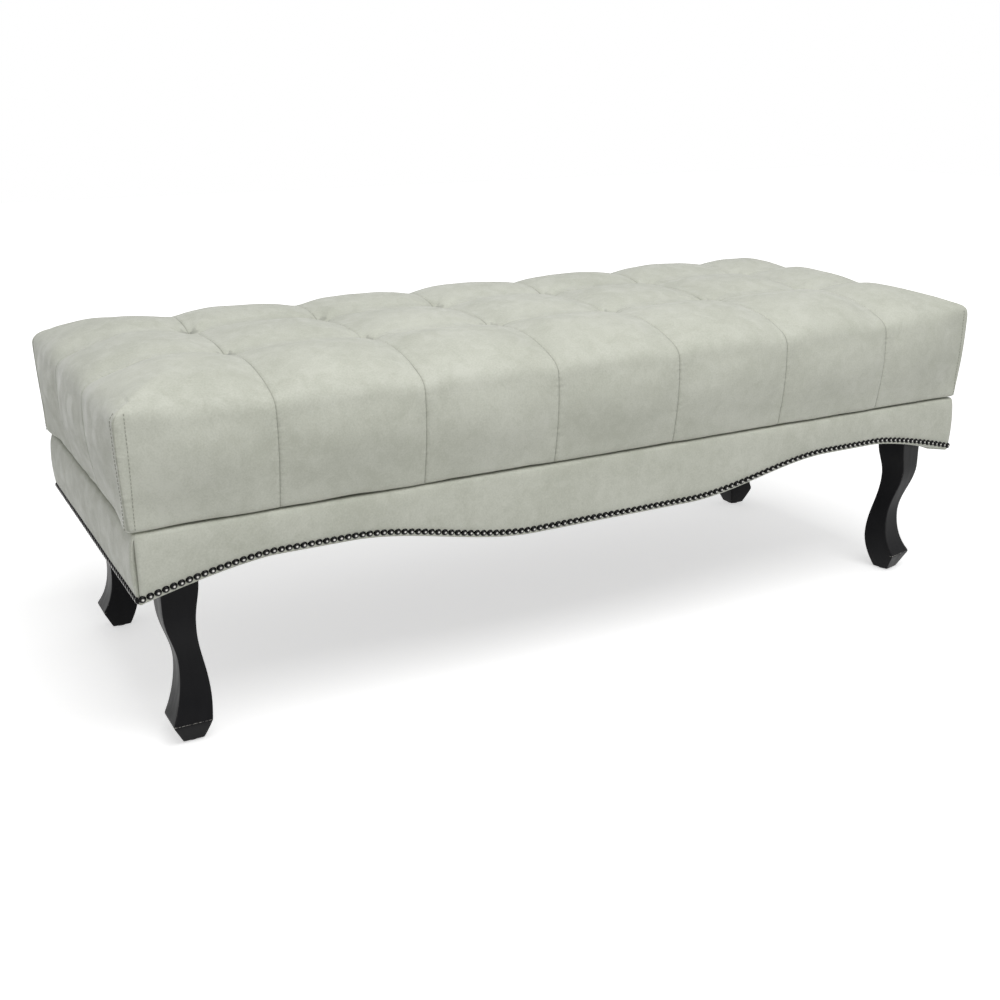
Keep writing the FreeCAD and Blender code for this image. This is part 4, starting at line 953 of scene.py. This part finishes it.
def build_row_tree():
    tree = bpy.data.node_groups.new("row_along_path", "GeometryNodeTree")
    for label, kind, default in ROW_INPUTS:
        socket = tree.interface.new_socket(name=label, in_out="INPUT", socket_type=kind)
        if default is not None:
            socket.default_value = default
    tree.interface.new_socket(name="Row", in_out="OUTPUT", socket_type="NodeSocketGeometry")
    given = tree.nodes.new("NodeGroupInput").outputs
    counted = add(tree, "GeometryNodeResampleCurve", {"Curve": given["Path"], "Count": given["Count"]},
                  mode="COUNT")
    spaced = add(tree, "GeometryNodeResampleCurve", {"Curve": given["Path"], "Length": given["Spacing"]},
                 mode="LENGTH")
    path = add(tree, "GeometryNodeSwitch", {"Switch": given["By Spacing"], "False": counted.outputs[0],
                                            "True": spaced.outputs[0]}, input_type="GEOMETRY").outputs[0]
    tangent = tree.nodes.new("GeometryNodeInputTangent").outputs[0]
    faced = add(tree, "FunctionNodeAlignRotationToVector", {"Vector": given["Facing"]}, axis="Z").outputs[0]
    led = add(tree, "FunctionNodeAlignRotationToVector", {"Vector": tangent}, axis="X").outputs[0]
    base = add(tree, "GeometryNodeSwitch", {"Switch": given["Along Path"], "False": faced, "True": led},
               input_type="ROTATION").outputs[0]
    least = add(tree, "ShaderNodeVectorMath", {0: (-1, -1, -8), "Scale": given["Tilt"]}, operation="SCALE")
    most = add(tree, "ShaderNodeVectorMath", {0: (1, 1, 8), "Scale": given["Tilt"]}, operation="SCALE")
    wobble = add(tree, "FunctionNodeRandomValue", {0: least.outputs[0], 1: most.outputs[0],
                                                   "Seed": given["Seed"]}, data_type="FLOAT_VECTOR")
    turned = add(tree, "FunctionNodeRotateRotation", {0: base, 1: wobble.outputs[0]}, rotation_space="LOCAL")
    shape = add(tree, "GeometryNodeObjectInfo", {"Object": given["Shape"]}).outputs["Geometry"]
    rows = add(tree, "GeometryNodeInstanceOnPoints", {"Points": path, "Instance": shape,
                                                      "Rotation": turned.outputs[0]})
    real = add(tree, "GeometryNodeRealizeInstances", {"Geometry": rows.outputs[0]})
    done = add(tree, "GeometryNodeSetMaterial", {"Geometry": real.outputs[0], "Material": given["Finish"]})
    tree.links.new(done.outputs[0], tree.nodes.new("NodeGroupOutput").inputs[0])
    return tree


row_tree = build_row_tree()
row_sockets = {item.name: item.identifier for item in row_tree.interface.items_tree if item.in_out == "INPUT"}


def row_piece(name, paths, shape, finish, **inputs):
    """Piece made by the tree: one copy of a shape at each step along some paths."""
    curve = bpy.data.curves.new(name + "_path", "CURVE")
    curve.dimensions = "3D"
    for path in paths:
        spline = curve.splines.new("POLY")
        spline.points.add(len(path) - 1)
        for point, spot in zip(spline.points, path):
            point.co = (*spot, 1)
    guide = new_object(name + "_path", curve)
    modifier = guide.modifiers.new("row", "NODES")
    modifier.node_group = row_tree
    modifier[row_sockets["Shape"]] = shape
    modifier[row_sockets["Finish"]] = finish
    for label, given in inputs.items():
        modifier[row_sockets[label.replace("_", " ")]] = given
    guide.update_tag()
    bpy.context.view_layer.update()
    mesh = evaluated_mesh(guide)
    guide.modifiers.clear()
    bpy.data.objects.remove(guide)
    mesh.name = name
    print(name, len(mesh.polygons), "faces")
    return new_object(name, mesh)


def put_away(thing):
    """The pattern that a row was made from isn't part of the bench."""
    bpy.data.objects.remove(thing)


print("row tree:", len(row_tree.nodes), "nodes")

# %% [markdown]
# ## Domed nails
# A decorative nail is a thin dome, 9.5 mm across, dark nickel with a painted highlight of the lamp on its
# crown. One dome of a few dozen faces is drawn from listed rings, with a number at each point that says how
# near the crown it lies.

# %% One nail head and its four rows
NAIL_RADIUS, NAIL_DOME = 0.00475, 0.0036
NAIL_SIDES = 12
NAIL_PITCH, FIRST_NAIL, NAIL_SINK = 0.0098, 0.005, 0.0004


def dome_shape():
    rings = [(1.0, -0.05), (1.0, 0.10), (0.86, 0.52), (0.58, 0.84), (0.26, 0.98)]
    corners, crown_share = [], []
    for radius, high in rings:
        for k in range(NAIL_SIDES):
            angle = 2 * math.pi * k / NAIL_SIDES
            corners.append((NAIL_RADIUS * radius * math.cos(angle), NAIL_RADIUS * radius * math.sin(angle),
                            NAIL_DOME * high))
            crown_share.append(1 - radius)
    *cells, top_ring = tube_cells(len(rings), NAIL_SIDES)
    cells += [[a, b, len(corners)] for a, b in zip(top_ring, top_ring[1:] + top_ring[:1])]
    corners.append((0, 0, NAIL_DOME))
    crown_share.append(1.0)
    made = mesh_object("nail_pattern", corners, cells)
    number_layer(made.data, "crown", crown_share)
    return made


nail_pattern = dome_shape()
nail_rows = {}
for side, length in SIDE_LENGTHS.items():
    to_bench = side_place(side)
    first, last = FIRST_NAIL, length - FIRST_NAIL
    steps = round((last - first) * 1000)
    spots_along = [first + (last - first) * k / steps for k in range(steps + 1)]
    path = [Vector((along, NAIL_SINK, nail_height(side, along))) for along in spots_along]
    run_length = sum((b - a).length for a, b in zip(path, path[1:]))
    count = round(run_length / NAIL_PITCH) + 1
    facing = to_bench.to_3x3() @ Vector((0, -1, 0))
    nail_rows[side] = row_piece(side + "_nail_row", [[to_bench @ spot for spot in path]], nail_pattern,
                                nail_finish, Count=count, Facing=tuple(facing), Tilt=0.05, Seed=7)
put_away(nail_pattern)

# %% [markdown]
# ## Stitches
# The seams of the cushion are sewn with a thread of the cloth's colour: one line down in each seam, and two
# lines beside each corner seam. The paths are read from the finished cushion, so they sink and rise with it.

# %% Seam paths and stitches
def stitch_shape(name, length, radius):
    """Short thread, round ended, with few faces."""
    sides, stations = 5, [(-0.5, 0.35), (-0.32, 1.0), (0.32, 1.0), (0.5, 0.35)]
    corners = []
    for share, thick in stations:
        for k in range(sides):
            angle = 2 * math.pi * k / sides
            reach = radius * thick
            corners.append((length * share, reach * math.cos(angle), reach * math.sin(angle)))
    return mesh_object(name, corners, [cell[::-1] for cell in tube_cells(len(stations), sides)])


run_now = numbers_of(cushion.data, "seam_run")
spots = coordinates(cushion.data)
outward = normals(cushion.data)
STITCH_LIFT = 0.0004


def seam_line(run):
    """Points of one seam in order, lifted off the cloth."""
    chosen = np.where((gap_now < 1e-5) & (np.abs(run_now - run) < RUN_STEP / 2))[0]
    chosen = chosen[np.argsort(run_now[chosen])]
    return [Vector(spots[n] + outward[n] * STITCH_LIFT) for n in chosen]


seam_lines = [seam_line(RUN_STEP * n) for n in range(len(SEEN_COLUMNS))]
seam_lines += [seam_line(ROW_RUN + RUN_STEP * n) for n in range(len(ROWS))]
print("seam paths:", [len(line) for line in seam_lines])
seam_stitch = stitch_shape("seam_stitch", 0.0042, 0.00032)
seam_stitches = row_piece("seam_stitches", seam_lines, seam_stitch, thread, By_Spacing=True, Spacing=0.0060,
                          Along_Path=True, Tilt=0.02, Seed=11)
put_away(seam_stitch)

cushion_tree = BVHTree.FromPolygons([tuple(spot) for spot in spots],
                                    [tuple(face.vertices) for face in cushion.data.polygons])
BESIDE_CORNER, CORNER_LIFT = 0.0052, 0.0003
FAR_X, FAR_Y = 0.80, 0.40
LOWEST_STITCH, HIGHEST_STITCH, STITCH_STEPS = 0.3130, 0.4500, 35
corner_lines = []
for x_way in (-1, 1):
    for y_way in (-1, 1):
        front_start = (x_way * (FACE_X - BESIDE_CORNER), y_way * FAR_Y)
        end_start = (x_way * FAR_X, y_way * (FACE_Y - BESIDE_CORNER))
        for start, way in ((front_start, (0, -y_way, 0)), (end_start, (-x_way, 0, 0))):
            line = []
            for k in range(STITCH_STEPS + 1):
                height_now = LOWEST_STITCH + (HIGHEST_STITCH - LOWEST_STITCH) * k / STITCH_STEPS
                hit = cushion_tree.ray_cast(Vector((*start, height_now)), Vector(way))[0]
                if hit:
                    line.append(hit - Vector(way) * CORNER_LIFT)
            corner_lines.append(line)
corner_stitch = stitch_shape("corner_stitch", 0.0033, 0.00055)
corner_stitches = row_piece("corner_stitches", corner_lines, corner_stitch, thread, By_Spacing=True,
                            Spacing=0.0046, Along_Path=True, Tilt=0.03, Seed=5)
put_away(corner_stitch)

# %% [markdown]
# ## Tuft cords
# Twelve cords hold the tufts down. The frame has them with their knots under the board; a soft cushion dips
# a little further at each tuft than the solid does, so the tops of the cords follow it down.

# %% Tuft cords, shortened at the top
TUFT_DIP, CORD_TOPS_FROM = 0.0075, 0.40
cord_mesh = merged_copy("tuft_ties")
for vert in cord_mesh.verts:
    if vert.co.z > CORD_TOPS_FROM:
        vert.co.z -= TUFT_DIP
tuft_cords = mesh_object("tuft_cords", [vert.co.copy() for vert in cord_mesh.verts],
                         [[vert.index for vert in face.verts] for face in cord_mesh.faces], cord_finish)
cord_mesh.free()
tuft_cords.data.set_sharp_from_angle(angle=math.radians(40))
print("tuft cords up to", round(max(vert.co.z for vert in tuft_cords.data.vertices), 4), "m")

# %% [markdown]
# ## Cabriole legs
# The legs are bandsawn: the same outline is cut on one face and then on the next, so every section is a
# square whose two edges follow the outline. A stack of such squares, with corners eased by a millimetre,
# gives a clean grid, and the points on the eased corners carry the number that the mask of edge wear and
# painted edge highlight reads.

# %% Leg outline
LEG_INSET, POST_WIDTH, LEG_TOP = 0.033, 0.048, 0.2555
POST_BACK = LEG_INSET + POST_WIDTH
EASE, EDGE_BAND, FLAT_INSET, PINCH = 0.0011, 0.0022, 0.004, 0.0008
CREASE_REACH, CREASE_DEPTH = 0.0022, 0.0007
SCUFF_ABOVE, SCUFF_REACH = 0.006, 0.014
ON_EDGE, BESIDE_EDGE, ON_CREASE, ON_SCUFF = 0.86, 0.2, 1.2, 0.9


def curve_points(*poles):
    """Points of a curve drawn by its first and last pole towards those between."""
    found = []
    for step in range(25):
        share = step / 24
        rest = [Vector(pole) for pole in poles]
        while len(rest) > 1:
            rest = [a.lerp(b, share) for a, b in zip(rest, rest[1:])]
        found.append(tuple(rest[0]))
    return found


def upright_curve(start, end):
    pull = 0.38 * (end[1] - start[1])
    return curve_points(start, (start[0], start[1] + pull), (end[0], end[1] - pull), end)


toe, ankle, knee = (LEG_INSET, 0.031), (LEG_INSET + 0.018, 0.1015), (LEG_INSET, 0.1885)
toe_pole = (toe[0] + 0.68 * (ankle[0] - toe[0]), toe[1] + 0.27 * (ankle[1] - toe[1]))
ankle_pole = (ankle[0], ankle[1] - 0.38 * (ankle[1] - toe[1]))
base_front, base_back = (LEG_INSET + 0.014, 0.002), (LEG_INSET + 0.041, 0.002)
heel, knee_back = (POST_BACK + 0.007, 0.062), (POST_BACK - 0.007, 0.170)
heel_pole = (heel[0], heel[1] - 0.38 * (heel[1] - 0.002))
sole_pole = (heel[0] + 0.62 * (base_back[0] - heel[0]), heel[1] - 0.78 * (heel[1] - 0.002))
front_line = [base_front, *curve_points(toe, toe_pole, ankle_pole, ankle), *upright_curve(ankle, knee)[1:],
              (LEG_INSET, LEG_TOP)]
back_line = [*reversed(curve_points(heel, heel_pole, sole_pole, base_back)),
             *upright_curve(heel, knee_back)[1:], *upright_curve(knee_back, (POST_BACK, 0.225))[1:],
             (POST_BACK, LEG_TOP)]
LEVELS = [0.002, 0.0028, 0.005, 0.010, 0.016, 0.022, 0.027, 0.0298, 0.0310, 0.0322, 0.035]
LEVELS += [0.040 + 0.0055 * k for k in range(39)] + [0.2535, LEG_TOP]


def outline_at(line, height_now):
    return float(np.interp(height_now, [spot[1] for spot in line], [spot[0] for spot in line]))


def square_ring(near, far, corner_round):
    """Rounded square from near to far in both ways, as (x, y, nearness to an edge)."""
    middle, half = (near + far) / 2, (far - near) / 2
    found = []
    for turn_now in range(4):
        across = [(-half, -half + corner_round, ON_EDGE),
                  (-half, -half + corner_round + EDGE_BAND, BESIDE_EDGE)]
        across += [(-half, (half - FLAT_INSET) * share, 0.0) for share in (0.66, 0.33, 0, -0.33, -0.66)][::-1]
        across += [(-half, half - corner_round - EDGE_BAND, BESIDE_EDGE),
                   (-half, half - corner_round, ON_EDGE)]
        eased = half - corner_round * (1 - math.sqrt(0.5))
        across.append((-eased, eased, ON_EDGE))
        for x, y, near_now in across:
            angle = -math.radians(90 * turn_now)
            found.append((middle + x * math.cos(angle) - y * math.sin(angle),
                          middle + x * math.sin(angle) + y * math.cos(angle), near_now))
    return found


print("leg outline:", len(front_line), "and", len(back_line), "points,", len(LEVELS), "levels")

# %% Four legs
LEG_SIDES = {"front_left": "front", "front_right": "right", "back_right": "back", "back_left": "left"}
LEG_TWIST = {"front_right": 12}
FOLLOW_BOLT = LEG_INSET + POST_WIDTH / 2


def make_leg(corner):
    bolt = Matrix.Translation((FOLLOW_BOLT, FOLLOW_BOLT, 0))
    twist = Matrix.Rotation(math.radians(LEG_TWIST.get(corner, 0)), 4, "Z")
    to_bench = side_place(LEG_SIDES[corner]) @ bolt @ twist @ bolt.inverted()
    corners, edge_share = [], []
    for height_now in LEVELS:
        near, far = outline_at(front_line, height_now), outline_at(back_line, height_now)
        pinch = PINCH if height_now in (LEVELS[0], LEVELS[-1]) else 0.0
        crease = max(0.0, 1 - abs(height_now - toe[1]) / CREASE_REACH)
        scuffed = max(0.0, 1 - abs(height_now - toe[1] - SCUFF_ABOVE) / SCUFF_REACH)
        near += CREASE_DEPTH * crease
        for x, y, near_edge_now in square_ring(near + pinch, far - pinch, EASE):
            corners.append(to_bench @ Vector((x, y, height_now)))
            facing_out = min(x, y) < near + FLAT_INSET
            # On the outer faces the toe crease gets the pale edge colour, which is wear and painted
            # highlight, and the band above it gets scuffs.
            wear_and_highlight_now = max(ON_CREASE * crease, ON_SCUFF * scuffed) if facing_out else 0.0
            edge_share.append(max(near_edge_now, wear_and_highlight_now))
    cells = tube_cells(len(LEVELS), len(corners) // len(LEVELS))
    made = mesh_object("cabriole_leg_" + corner, corners, cells, lacquer)
    number_layer(made.data, "edge", edge_share)
    made.data.set_sharp_from_angle(angle=math.radians(32))
    outward_check(made)
    return made


legs = {corner: make_leg(corner) for corner in LEG_SIDES}

# %% [markdown]
# ## Dust cover
# A black nonwoven closes the frame from below, cut out round the legs and stapled to the cleats. It is one
# thin sheet that hangs a millimetre or two between its edges, so a grid with a slight sag is all it needs.

# %% Dust cover and staples
SHEET_X, SHEET_Y, CUT_X, CUT_Y = 0.642, 0.240, 0.583, 0.181
SHEET_HEIGHT, SHEET_THICKNESS = 0.2551, 0.0007
SAG, SAG_REACH, SAG_UNEVEN = 0.0022, 0.12, 0.0007


def lines_between(*ends):
    found = []
    for low, high in zip(ends, ends[1:]):
        cells_now = max(1, round((high - low) / 0.02))
        found += [low + (high - low) * k / cells_now for k in range(cells_now)]
    return found + [ends[-1]]


sheet_x = lines_between(-SHEET_X, -CUT_X, CUT_X, SHEET_X)
sheet_y = lines_between(-SHEET_Y, -CUT_Y, CUT_Y, SHEET_Y)
sheet_points, sheet_cells = [], []
for x in sheet_x:
    for y in sheet_y:
        inwards = min(1.0, (SHEET_X - abs(x)) / SAG_REACH, (SHEET_Y - abs(y)) / SAG_REACH)
        sag = SAG * inwards ** 0.6 + SAG_UNEVEN * inwards * uneven((x, y, 0), 0.11, 5)
        sheet_points.append((x, y, SHEET_HEIGHT - sag))
for i in range(len(sheet_x) - 1):
    for j in range(len(sheet_y) - 1):
        middle_x, middle_y = (sheet_x[i] + sheet_x[i + 1]) / 2, (sheet_y[j] + sheet_y[j + 1]) / 2
        if abs(middle_x) < CUT_X or abs(middle_y) < CUT_Y:
            low = i * len(sheet_y) + j
            sheet_cells.append([low, low + len(sheet_y), low + len(sheet_y) + 1, low + 1])
dust_sheet = mesh_object("dust_sheet", sheet_points, sheet_cells, felt_finish)
cleaner = bmesh.new()
cleaner.from_mesh(dust_sheet.data)
bmesh.ops.delete(cleaner, geom=[vert for vert in cleaner.verts if not vert.link_faces], context="VERTS")
cleaner.to_mesh(dust_sheet.data)
cleaner.free()
thick = dust_sheet.modifiers.new("thickness", "SOLIDIFY")
thick.thickness = SHEET_THICKNESS
thick.offset = 0
dust_sheet.data = evaluated_mesh(dust_sheet)
dust_sheet.modifiers.clear()


def staple_shape():
    """Crown of a staple: a flat wire 10 mm long with its two ends bent up into the wood."""
    wide, flat = 0.0006, 0.00025
    path = [(-0.0050, 0.0008), (-0.0050, 0.0), (0.0050, 0.0), (0.0050, 0.0008)]
    corners = []
    for n, (x, z) in enumerate(path):
        lower = z - flat
        shift = -flat if n in (0, 1) else flat
        corners += [(x + shift, -wide, lower), (x + shift, wide, lower),
                    (x - shift, wide, z + flat), (x - shift, -wide, z + flat)]
    cells = tube_cells(len(path), 4)
    made = mesh_object("staple_pattern", corners, cells, smooth=False)
    outward_check(made)
    return made


STAPLE_EDGE, STAPLE_START, STAPLE_PITCH = 0.006, 0.02, 0.045
staple_height = SHEET_HEIGHT - 0.0009
staple_paths = []
for y in (-SHEET_Y + STAPLE_EDGE, SHEET_Y - STAPLE_EDGE):
    staple_paths.append([(-CUT_X + STAPLE_START, y, staple_height), (CUT_X - STAPLE_START, y, staple_height)])
for x in (-SHEET_X + STAPLE_EDGE, SHEET_X - STAPLE_EDGE):
    staple_paths.append([(x, -CUT_Y + STAPLE_START, staple_height), (x, CUT_Y - STAPLE_START, staple_height)])
staple_pattern = staple_shape()
staples = row_piece("dust_cover_staples", staple_paths, staple_pattern, zinc_finish, By_Spacing=True,
                    Spacing=STAPLE_PITCH, Along_Path=True, Tilt=0.02, Seed=3)
put_away(staple_pattern)

# %% [markdown]
# ## What stays from the frame
# Rails, blocks, braces, board, screws, bolts and glides are right as they are, and most lie inside. They only
# take a finish, with the grain of each board running along its own length.

# %% Finishes of the frame's own pieces
KEPT = {
    pine_along: ["front_rail", "back_rail", "front_cleat", "back_cleat", "rail_dowels"],
    pine_across: ["left_rail", "right_rail", "left_cleat", "right_cleat", "cross_brace_left",
                  "cross_brace_middle", "cross_brace_right"],
    pine_upright: ["corner_block_front_left", "corner_block_front_right", "corner_block_back_right",
                   "corner_block_back_left"],
    birch_ply: ["seat_board"],
    zinc_finish: ["frame_screws", "seat_screws", "hanger_bolts", "leg_washers", "leg_nuts", "tie_washers"],
    glide_finish: ["foot_glides"],
}
for finish, names in KEPT.items():
    for name in names:
        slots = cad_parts[name].material_slots
        if not slots:
            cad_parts[name].data.materials.append(finish)
        for slot in slots:
            slot.material = finish
print("finished:", sum(len(names) for names in KEPT.values()), "pieces of the frame")

# %% [markdown]
# ## Floor
# The floor is pale and plain. It really is lit by the lamp, so it keeps the bench's shadow, and it gives off
# a little light of its own, which only the camera and reflections see. That light grows with the distance
# from the bench and lifts the floor to the white of the picture.

# %% Floor
floor = mesh_object("studio_floor", [(-9, -9, 0), (9, -9, 0), (9, 9, 0), (-9, 9, 0)], [[0, 1, 2, 3]])
floor_finish, floor_tree, floor_shader = new_finish("pale_floor", (0.9, 0.9, 0.9), Roughness=0.9,
                                                    Base_Color=(0.82, 0.82, 0.82, 1), Emission_Color=WHITE,
                                                    Specular_IOR_Level=0.1)
FLOOR_LIFT, LIFT_NEAR, LIFT_FAR = 0.58, 0.9, 3.0
far_off = add(floor_tree, "ShaderNodeVectorMath", {0: own_place(floor_tree)}, operation="LENGTH")
glow = remap(floor_tree, far_off.outputs["Value"], LIFT_NEAR, LIFT_FAR, FLOOR_LIFT, 1.0)
feed(floor_tree, floor_shader, Emission_Strength=times(floor_tree, seen_directly(floor_tree), glow))
floor.data.materials.append(floor_finish)
print("floor ready")

# %% [markdown]
# ## Tell the frame what rides where
# Every piece rides on the bench's one body. The cushion stands for the cover and its foam, each apron cover
# for the cloth and the padding under it, and the rows of nails and the legs for the plain ones.

# %% Rides and replacements
pieces = {
    cushion: ("upholstery", ["quilted_cover", "foam_block"]),
    dust_sheet: ("dust_fabric", ["dust_cover"]),
    seam_stitches: ("upholstery", []),
    corner_stitches: ("upholstery", []),
    staples: ("fastener_steel", []),
    tuft_cords: ("tie_cord", ["tuft_ties"]),
}
for side in SIDE_LENGTHS:
    pieces[covers[side]] = ("upholstery", [side + "_cover", side + "_padding"])
    pieces[nail_rows[side]] = ("nail_metal", [side + "_nails"])
for corner, leg in legs.items():
    pieces[leg] = ("leg_wood", ["leg_" + corner])
for piece, (slot, nodes) in pieces.items():
    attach(piece, "root")
    if nodes:
        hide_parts(*nodes)
